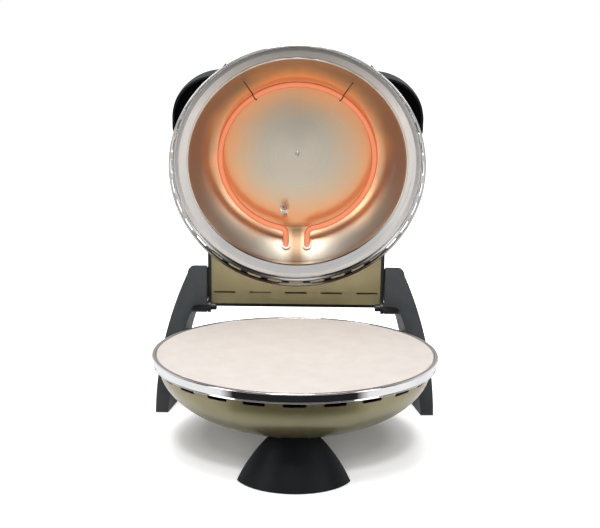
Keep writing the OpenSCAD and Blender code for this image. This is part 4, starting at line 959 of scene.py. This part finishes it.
def elementPath():
    bendX = heater["endX"] + heater["bend"]
    bendAngle = math.asin(bendX / (heater["radius"] + heater["bend"]))
    bendY = (heater["radius"] + heater["bend"]) * math.cos(bendAngle)
    points = [(-heater["endX"], heater["bushY"] + heater["tail"], heater["up"]),
              (-heater["endX"], heater["bushY"], heater["up"])]
    for k in range(13):  # bend from the end into the ring
        a = (math.pi / 2 - bendAngle) * k / 12
        points.append((-bendX + heater["bend"] * math.cos(a), bendY - heater["bend"] * math.sin(a),
                       heater["up"]))
    for k in range(1, 160):
        a = math.pi / 2 + bendAngle + (2 * math.pi - 2 * bendAngle) * k / 160
        points.append((heater["radius"] * math.cos(a), heater["radius"] * math.sin(a), heater["up"]))
    return points + [(-x, y, z) for x, y, z in reversed(points[:15])]


sheath = tube([elementPath()], heater["tube"], 20, "hotSheath", lidFrame)
meshPiece(sheath, "lidElement", "lid", ["lid_element"], sharp=60)

bush = {"collar": 11.5, "thick": 3.0, "neck": 8.5, "length": 9.0, "tilt": 46.9, "turn": 6.5}
bm = bmesh.new()
for side in (-1, 1):
    spot = Matrix.Translation((side * heater["endX"], heater["bushY"], heater["up"]))
    turn = Matrix.Rotation(math.radians(-side * bush["turn"]), 4, "Z")  # to face the round wall
    lean = Matrix.Rotation(math.radians(180 - bush["tilt"]), 4, "X")
    hole = heater["tube"] / 2 - 0.2
    spin(bm, roundPath([(0, -0.5, 0), (bush["collar"] / 2, -0.5, 0), (bush["collar"] / 2, bush["thick"], 0.9),
                        (hole, bush["thick"], 0.4), (hole, bush["thick"] - 1.5, 0),
                        (0, bush["thick"] - 1.5, 0)]),
         steps=40, closed=False, spot=spot @ turn @ lean)
    spin(bm, [(0, 0), (bush["neck"] / 2, 0), (bush["neck"] / 2, bush["length"]), (0, bush["length"])],
         steps=32, closed=False, spot=spot @ Matrix.Rotation(math.radians(-90), 4, "X"))
makePiece(bm, "elementBushes", lidFrame, ["whiteCeramic"], "lid", ["lid_element_bushes"])

hanger = {"wire": 1.6, "angle": 34.0, "reach": 117.4}


def hangerPath(side):
    hook = (heater["tube"] + hanger["wire"]) / 2
    points = []
    for k in range(21):  # round the tube, then out to the wall
        a = math.radians(250 - 250 * k / 20)
        points.append(Vector((heater["radius"] + hook * math.cos(a), 0, heater["up"] - hook * math.sin(a))))
    start = heater["radius"] + hook
    run = [start + t * (hanger["reach"] - heater["radius"] - hook) for t in (0.2, 0.6, 1.0)]
    points += [Vector((out, 0, heater["up"])) for out in run]
    turn = Matrix.Rotation(math.radians(side * hanger["angle"] - 90), 4, "Z")
    return [turn @ p for p in points]


wires = tube([hangerPath(-1), hangerPath(1)], hanger["wire"], 10, "coldSheath", lidFrame)
meshPiece(wires, "elementHangers", "lid", ["element_hangers"], sharp=60)
softened("sensor_bracket", "sensorBracket", ["reflector"], "lid", 0.15)
print("element made")

screw = {"head": 6.0, "tall": 2.0, "shank": 3.0, "recess": 3.6, "slot": 0.75}


def screwMesh(name, length):
    # Cross-head screw pointing down, its head above zero
    bm = bmesh.new()
    shank, head, tall = screw["shank"] / 2, screw["head"] / 2, screw["tall"]
    spin(bm, roundPath([(0, -length, 0), (shank, -length, 0.4), (shank, 0, 0), (head, 0, 0.2),
                        (head, tall * 0.55, 0.9), (screw["recess"] / 2 + 0.3, tall, 0.3), (0, tall, 0)]),
         steps=32, closed=False)
    body = shapeObject(bm, name, floorFrame)
    bm = bmesh.new()
    wide, long, low, high = screw["slot"] / 2, screw["recess"] / 2, tall * 0.45, tall + 1
    for x, y in ((wide, long), (long, wide)):
        addBlock(bm, (-x, -y, low), (x, y, high))
    recess = shapeObject(bm, name + "Recess", floorFrame)
    cut = body.modifiers.new("recess", "BOOLEAN")
    cut.object, cut.solver, cut.use_self = recess, "EXACT", True
    bakeModifiers(body)
    bpy.data.objects.remove(recess)
    return body


nodeScrew = screwMesh("centreScrew", 11.0)


def spotInLid(x, y, z):
    return (lidFrame @ Vector((x, y, z))) * mm


def aimInLid(x, y, z):
    return (lidFrame.to_3x3() @ Vector((x, y, z))).normalized()


screws = fasteners(nodeScrew, [(spotInLid(0, 0, liner["floorUp"]), aimInLid(0, 0, -1))], "zinc")
meshPiece(screws, "centreScrew", "lid", ["liner_screw"], sharp=35)
bpy.data.objects.remove(nodeScrew)


# ---- neck ----

def domeShape():
    bm = bmesh.new()
    spin(bm, [(0, lid["domeUp"])] + outside, steps=192, closed=False)
    return shapeObject(bm, "domeShape", lidFrame)


panel = {"half": 103.0, "front": 45.0, "back": 184.0, "up": 22.0, "sheet": 1.4, "slots": 5,
         "slotLength": 26.5, "slotHeight": 2.4, "pitch": 43.5, "slotIn": 15.0}
bm = bmesh.new()
addBlock(bm, (-panel["half"], panel["front"], panel["up"]),
         (panel["half"], panel["back"], panel["up"] + panel["sheet"]))
sheet = shapeObject(bm, "sheet", lidFrame)
carve(sheet, domeShape())
lidTurn = lidFrame.to_3x3().to_4x4()
bm = bmesh.new()
reach, half = (panel["slotLength"] - panel["slotHeight"]) / 2, panel["slotHeight"] / 2
turns = [math.radians(-90 + 15 * k) for k in range(13)]
line = [(reach + half * math.cos(a), half * math.sin(a)) for a in turns]
line += [(-x, -y) for x, y in line]
addPrism(bm, line, -2, 2)
cutter = shapeObject(bm, "slot", lidTurn)
start = (lidFrame @ Vector((-panel["pitch"] * (panel["slots"] - 1) / 2, panel["back"] - panel["slotIn"],
                            panel["up"] + panel["sheet"] / 2))) * mm
values = {"Cutter": cutter, "Count": panel["slots"], "Pitch": Vector((panel["pitch"] * mm, 0, 0)),
          "Start": start, "Material": finish["lidPaintPaintedLighter"]}
meshPiece(runTree(slotsInARow, sheet, values), "neckPanel", "lid", ["neck_panel"])
bpy.data.objects.remove(cutter)

softened("neck_cover", "neckCover", ["lidPaintPaintedLighter"], "lid", 1.2, sharp=20.0, flat=0.02,
         pick=lambda e: 1.0 if all(abs(abs(v.co.x) - panel["half"] * mm) < 1e-5 for v in e.verts) else 0.0)
for side in ("left", "right"):
    softened(f"neck_plate_{side}", f"neckPlate{side.capitalize()}", ["blackSteel"], "lid", 0.8)
softened("neck_rear_bar", "neckRearBar", ["blackSteel"], "lid", 0.8)
softened("conduit_gland", "conduitGland", ["blackPlastic"], "lid", 0.4)
softened("cord_gland", "cordGland", ["blackPlastic"], "base", 0.4)

pin = {"radius": 3.0, "head": 4.5, "headLength": 7.0, "start": 103.0, "end": 127.8}
bm = bmesh.new()
for side in (-1, 1):
    along = Matrix.Translation(hingeSpot) @ Matrix.Rotation(math.radians(90 * side), 4, "Y")
    top = pin["start"] - pin["headLength"]
    spin(bm, roundPath([(0, top, 0), (pin["head"], top, 1.6), (pin["head"], pin["start"], 0),
                        (pin["radius"], pin["start"], 0), (pin["radius"], pin["end"], 0.5),
                        (0, pin["end"], 0)]),
         steps=40, closed=False, spot=along)
makePiece(bm, "hingePins", floorFrame, ["blackSteel"], "lid", ["hinge_pins"])
print("neck and hinge made")

# ---- handle ----

handle = {"half": 148.4, "ear": 52.4, "front": 103.0, "rear": 26.0, "top": 90.0, "low": 30.0, "edge": 36.0,
          "corner": 12.0, "wall": 2.6, "crown": 168.0, "gripOut": 7.5, "gripHalf": 86.0, "gripFlank": 6.0,
          "gripPoint": 1.5, "gripScoop": 3.5, "gripUp": 62.0, "gripThick": 5.0, "soft": 3.4, "knobX": 58.0,
          "knobForward": 66.0, "seatUp": 86.0, "seatThick": 10.0, "seatRadius": 20.0, "sleeve": 4.8,
          "lens": 5.5}


def handlePlan(inset):
    # Plan outline of the handle: straight front, round ears, rounded rear corners
    x, front, ear = handle["half"] - inset, handle["front"] - inset, handle["ear"] - inset
    bend, rear = handle["corner"] - inset, handle["rear"] + inset
    turns = [math.pi / 2 * k / 20 for k in range(21)]
    side = [(x - ear + ear * math.sin(a), ear - front - ear * math.cos(a)) for a in turns]
    turns = [math.pi / 2 * k / 8 for k in range(9)]
    corner = [(x - bend + bend * math.cos(a), -rear - bend + bend * math.sin(a)) for a in turns]
    rearX, frontX = x - bend, side[0][0]
    half = [(frontX * k / 14, -front) for k in range(1, 14)] + side + corner
    half += [(rearX * k / 14, -rear) for k in range(13, 0, -1)]
    return half + [(0, -rear)] + [(-a, b) for a, b in reversed(half)] + [(0, -front)]


def crownUp(x, y, inset):
    rise = max(0.0, 1 - (math.hypot(x, y) / (handle["crown"] - inset)) ** 2)
    return handle["low"] + (handle["top"] - handle["low"] - inset) * math.sqrt(rise)


def handleShape(inset, low, soft, name):
    bm = bmesh.new()
    rows = [[(x, y, low) for x, y in handlePlan(inset)]]
    for k in range(7):  # the rounded top edge
        a = math.pi / 2 * k / 6
        drop, move = soft * (1 - math.sin(a)), soft * (1 - math.cos(a))
        rows.append([(x, y, crownUp(x, y, inset) - drop) for x, y in handlePlan(inset + move)])
    edge = handlePlan(inset + soft)
    middle = Vector((0, -66))
    for k in range(1, 24):
        t = 1 - k / 24
        row = [middle + (Vector(p) - middle) * t for p in edge]
        rows.append([(p.x, p.y, crownUp(p.x, p.y, inset)) for p in row])
    made = [[bm.verts.new(p) for p in row] for row in rows]
    count = len(edge)
    for lower, upper in zip(made, made[1:]):
        for k in range(count):
            bm.faces.new([lower[k - 1], lower[k], upper[k], upper[k - 1]])
    bm.faces.new(made[0])
    tip = bm.verts.new((middle.x, middle.y, crownUp(middle.x, middle.y, inset)))
    for k in range(count):
        bm.faces.new([made[-1][k - 1], made[-1][k], tip])
    return shapeObject(bm, name, lidFrame)


shell = handleShape(0, handle["edge"], handle["soft"], "handleShell")
carve(shell, handleShape(handle["wall"], 0, 1.5, "hollow"))
bm = bmesh.new()
point = (handle["gripHalf"], -handle["front"] - handle["gripOut"])
line = [(point[0] + handle["gripFlank"], handle["wall"] / 2 - handle["front"]),
        (point[0] + handle["gripFlank"], -handle["front"]), point,
        (point[0] - handle["gripPoint"], point[1] + handle["gripScoop"])]
line += [(-x, y) for x, y in reversed(line)]
addPrism(bm, line, handle["gripUp"] - handle["gripThick"], handle["gripUp"])
grip = shapeObject(bm, "grip", lidFrame)
breakEdges(grip, 0.7)
carve(shell, grip, "UNION")
for side in (-1, 1):
    spot = lidFrame @ Matrix.Translation((side * handle["knobX"], -handle["knobForward"], handle["seatUp"]))
    bm = bmesh.new()
    spin(bm, roundPath([(0, -handle["seatThick"], 0), (handle["seatRadius"], -handle["seatThick"], 0.5),
                        (handle["seatRadius"], 0, 1.2), (0, 0, 0)]), steps=96, closed=False)
    carve(shell, shapeObject(bm, "seat", spot), "UNION")
    bm = bmesh.new()
    spin(bm, [(0, -30), (handle["sleeve"], -30), (handle["sleeve"], 10), (0, 10)], steps=48, closed=False)
    carve(shell, shapeObject(bm, "bore", spot))
bm = bmesh.new()
spin(bm, [(0, handle["low"]), (handle["lens"], handle["low"]), (handle["lens"], 100), (0, 100)], steps=48,
     closed=False)
carve(shell, shapeObject(bm, "bore", lidFrame @ Matrix.Translation((0, -handle["knobForward"], 0))))
carve(shell, domeShape())
shell.data.materials.clear()
dressPiece(shell, ["blackPlastic"], "lid", ["handle_shell"], sharp=38)

lens = {"radius": 5.5, "top": 88.0, "tall": 8.0, "rise": 1.6, "bezel": 7.2, "bezelLow": 83.4,
        "bezelTop": 87.1}
bm = bmesh.new()
shoulder = lens["top"] - lens["rise"]
turns = [math.pi / 2 * k / 10 for k in range(10)]
cap = [(lens["radius"] * math.cos(a), shoulder + lens["rise"] * math.sin(a)) for a in turns]
low = lens["top"] - lens["tall"]
spin(bm, [(0, low), (lens["radius"], low)] + cap + [(0, lens["top"])], steps=64, closed=False)
spot = lidFrame @ Matrix.Translation((0, -handle["knobForward"], 0))
makePiece(bm, "pilotLens", spot, ["lens"], "lid", ["pilot_lens"])
bm = bmesh.new()
inner = lens["radius"] + 0.05
spin(bm, roundPath([(inner, lens["bezelLow"], 0), (lens["bezel"], lens["bezelLow"], 0),
                    (lens["bezel"], lens["bezelTop"], 0.8), (inner, lens["bezelTop"], 0.4)]), steps=64)
makePiece(bm, "lensBezel", spot, ["zinc"], "lid", [])
softened("thermostat_knob", "thermostatKnob", ["knobPlastic"], "thermostat", 0.5)
softened("timer_knob", "timerKnob", ["knobPlastic"], "timer", 0.8)
print("handle and knobs made")

# ---- pieces taken over as they are ----

kept = {"base_liner": "reflector", "base_element": "coldSheath", "element_saddles": "steel",
        "base_element_bushes": "whiteCeramic", "rim_screws": "zinc", "terminal_block": "greyPlastic",
        "thermal_cutout": "blackSteel", "foot_screws": "zinc", "bracket_screws": "zinc", "leg_screws": "zinc",
        "hinge_bushes": "blackSteel", "hinge_washers": "blackSteel", "sensor_bulb": "copper",
        "dome_spacer": "zinc", "neck_screws": "zinc", "handle_screws": "zinc",
        "thermostat_body": "greyPlastic", "timer_body": "greyPlastic", "pilot_lamp": "lamp",
        "lid_terminal_block": "greyPlastic", "thermostat_shaft": "steel", "timer_shaft": "steel"}
for node, material in kept.items():
    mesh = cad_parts[node].data
    mesh.materials.clear()
    mesh.materials.append(finish[material])

# ---- floor, lights and camera ----

def startStage(name):
    material = bpy.data.materials.new(name)
    material.use_nodes = True
    material.node_tree.nodes.clear()
    return material, material.node_tree


def showSurface(tree, shader, kind="ShaderNodeOutputMaterial"):
    tree.links.new(shader.outputs[0], tree.nodes.new(kind).inputs["Surface"])


def stageMaterial(name, colour, bounce, roughness, glow):
    # A matt surface that throws little light back and lights up for the camera away from the middle
    material, tree = startStage(name)
    spots = addNode(tree, "ShaderNodeNewGeometry").outputs["Position"]
    grain = addNoise(tree, spots, 30.0, 2.0)
    tint = addRamp(tree, grain, [(0.0, [c * 0.985 for c in colour]), (1.0, colour)])
    rays = addNode(tree, "ShaderNodeLightPath")
    seen = rays.outputs["Is Camera Ray"]
    shown = addMath(tree, "MAXIMUM", seen, rays.outputs["Is Glossy Ray"])
    tint = addMix(tree, shown, [c * bounce for c in colour], tint)
    base = addNode(tree, "ShaderNodeBsdfDiffuse", {"Color": tint, "Roughness": roughness})
    away = addNode(tree, "ShaderNodeVectorMath", {0: spots, 1: glow["middle"]},
                   operation="DISTANCE").outputs["Value"]
    rise = addRamp(tree, away, [(distance, (level,) * 3) for distance, level in glow["rise"]])
    light = addNode(tree, "ShaderNodeEmission", {"Color": (1, 1, 1, 1),
                                                 "Strength": addMath(tree, "MULTIPLY", seen, rise)})
    both = addNode(tree, "ShaderNodeAddShader", {0: base.outputs[0], 1: light.outputs[0]})
    showSurface(tree, both)
    return material


def stagePlane(name, width, depth, place, turn, material):
    mesh = bpy.data.meshes.new(name)
    corners = [(-width / 2, -depth / 2, 0), (width / 2, -depth / 2, 0), (width / 2, depth / 2, 0),
               (-width / 2, depth / 2, 0)]
    mesh.from_pydata(corners, [], [(0, 1, 2, 3)])
    mesh.materials.append(material)
    plane = linkObject(name, mesh)
    plane.location = place
    plane.rotation_euler = [math.radians(a) for a in turn]
    return plane


floorGlow = {"middle": (0, 0.045, 0), "rise": [(0.105, 0.0), (0.135, 0.18), (0.15, 0.5), (0.3, 0.6),
                                               (0.7, 1.0)]}
stagePlane("floor", 12, 12, (0, 0, 0), (0, 0, 0),
           stageMaterial("floorWhite", (0.88, 0.88, 0.88), 0.15, 0.9, floorGlow))


def cardMaterial(name, fan):
    # Black paper in front of the object, fading out at all its edges
    material, tree = startStage(name)
    spots = addNode(tree, "ShaderNodeNewGeometry").outputs["Position"]
    parts = addNode(tree, "ShaderNodeSeparateXYZ", {0: spots})
    ahead = addMath(tree, "MULTIPLY", addMath(tree, "ADD", parts.outputs["Y"], 0.05), -1.0)
    aside = addMath(tree, "ARCTAN2", addMath(tree, "ABSOLUTE", parts.outputs["X"]), ahead)
    away = addNode(tree, "ShaderNodeVectorMath", {0: spots}, operation="LENGTH").outputs["Value"]
    width = addRange(tree, aside, fan["full"], fan["none"], 1.0, 0.0)
    amount = addMath(tree, "MULTIPLY", width, addRange(tree, away, fan["start"], fan["whole"], 0.0, 1.0))
    amount = addMath(tree, "MULTIPLY", amount, addRange(tree, away, fan["fade"], fan["gone"], 1.0, 0.0))
    grain = addRamp(tree, addNoise(tree, spots, 40.0, 2.0),
                    [(0.0, (0.012, 0.012, 0.012)), (1.0, (0.02, 0.02, 0.02))])
    black = addNode(tree, "ShaderNodeBsdfDiffuse", {"Color": grain})
    none = addNode(tree, "ShaderNodeBsdfTransparent")
    both = addNode(tree, "ShaderNodeMixShader", {0: amount, 1: none.outputs[0], 2: black.outputs[0]})
    showSurface(tree, both)
    return material


fan = {"full": 0.7, "none": 0.86, "start": 0.2, "whole": 0.27, "fade": 0.6, "gone": 0.8}
card = stagePlane("darkCard", 5.0, 3.4, (0, -1.8, 0.001), (0, 0, 0), cardMaterial("blackPaper", fan))
card.visible_camera = card.visible_diffuse = card.visible_shadow = card.visible_transmission = False


def addLight(name, size, power, place, target, seen=True):
    light = bpy.data.lights.new(name, "AREA")
    light.shape = "RECTANGLE"
    light.size, light.size_y = size
    light.energy = power
    lamp = bpy.data.objects.new(name, light)
    bpy.context.scene.collection.objects.link(lamp)
    lamp.location = place
    lamp.rotation_euler = (Vector(target) - Vector(place)).to_track_quat("-Z", "Y").to_euler()
    lamp.visible_camera = False
    lamp.visible_glossy = seen
    return lamp


addLight("keyLight", (1.0, 0.8), 35, (-0.1, -1.05, 2.05), (0, 0, 0.15))
addLight("leftLight", (0.6, 1.0), 7.5, (-1.5, -0.9, 0.9), (0, 0, 0.2))
addLight("rightLight", (0.6, 1.0), 6, (1.5, -0.9, 0.9), (0, 0, 0.2))
addLight("topLight", (1.2, 1.2), 15, (0, 0.1, 2.1), (0, 0, 0))
addLight("frontLight", (1.4, 0.5), 9, (0, -2.2, 0.9), (0, 0.1, 0.15), seen=False)

world = bpy.data.worlds.new("studio")
bpy.context.scene.world = world
world.use_nodes = True
tree = world.node_tree
tree.nodes.clear()
path = addNode(tree, "ShaderNodeLightPath")
clear = addMath(tree, "MAXIMUM", path.outputs["Is Camera Ray"], path.outputs["Is Transmission Ray"])
room = {"fill": 0.06, "sideStart": 1.5, "sideEnd": 2.2,
        "front": [(0.0, 0.45), (0.28, 0.6), (0.42, 0.12), (0.74, 0.12), (0.9, 1.0)]}  # brightness by height
way = addNode(tree, "ShaderNodeSeparateXYZ", {0: addNode(tree, "ShaderNodeTexCoord").outputs["Generated"]})
aside = addMath(tree, "ARCTAN2", addMath(tree, "ABSOLUTE", way.outputs["X"]),
                addMath(tree, "MULTIPLY", way.outputs["Y"], -1.0))
side = addRange(tree, aside, room["sideStart"], room["sideEnd"], 0.0, 1.0)
above = addRamp(tree, way.outputs["Z"], [(height, (level,) * 3) for height, level in room["front"]])
mirrored = addMath(tree, "MAXIMUM", side, above)
strength = addRange(tree, path.outputs["Is Glossy Ray"], 0, 1, room["fill"], mirrored)
strength = addRange(tree, clear, 0, 1, strength, 1.0)
glow = addNode(tree, "ShaderNodeBackground", {"Color": (1, 1, 1, 1), "Strength": strength})
showSurface(tree, glow, "ShaderNodeOutputWorld")

view = {"lens": 107.0, "sensor": 36.0, "place": (0, -1.9735, 0.6635), "down": 12.775, "aside": -0.125,
        "roll": 0.7}
camera = bpy.data.cameras.new("camera")
camera.lens, camera.sensor_width = view["lens"], view["sensor"]
eye = bpy.data.objects.new("camera", camera)
bpy.context.scene.collection.objects.link(eye)
aside = Matrix.Rotation(math.radians(view["aside"]), 4, "Z")
down = Matrix.Rotation(math.radians(90 - view["down"]), 4, "X")
roll = Matrix.Rotation(math.radians(view["roll"]), 4, "Z")
eye.matrix_world = Matrix.Translation(view["place"]) @ aside @ down @ roll
bpy.context.scene.camera = eye
bpy.context.scene.view_settings.view_transform = "Standard"
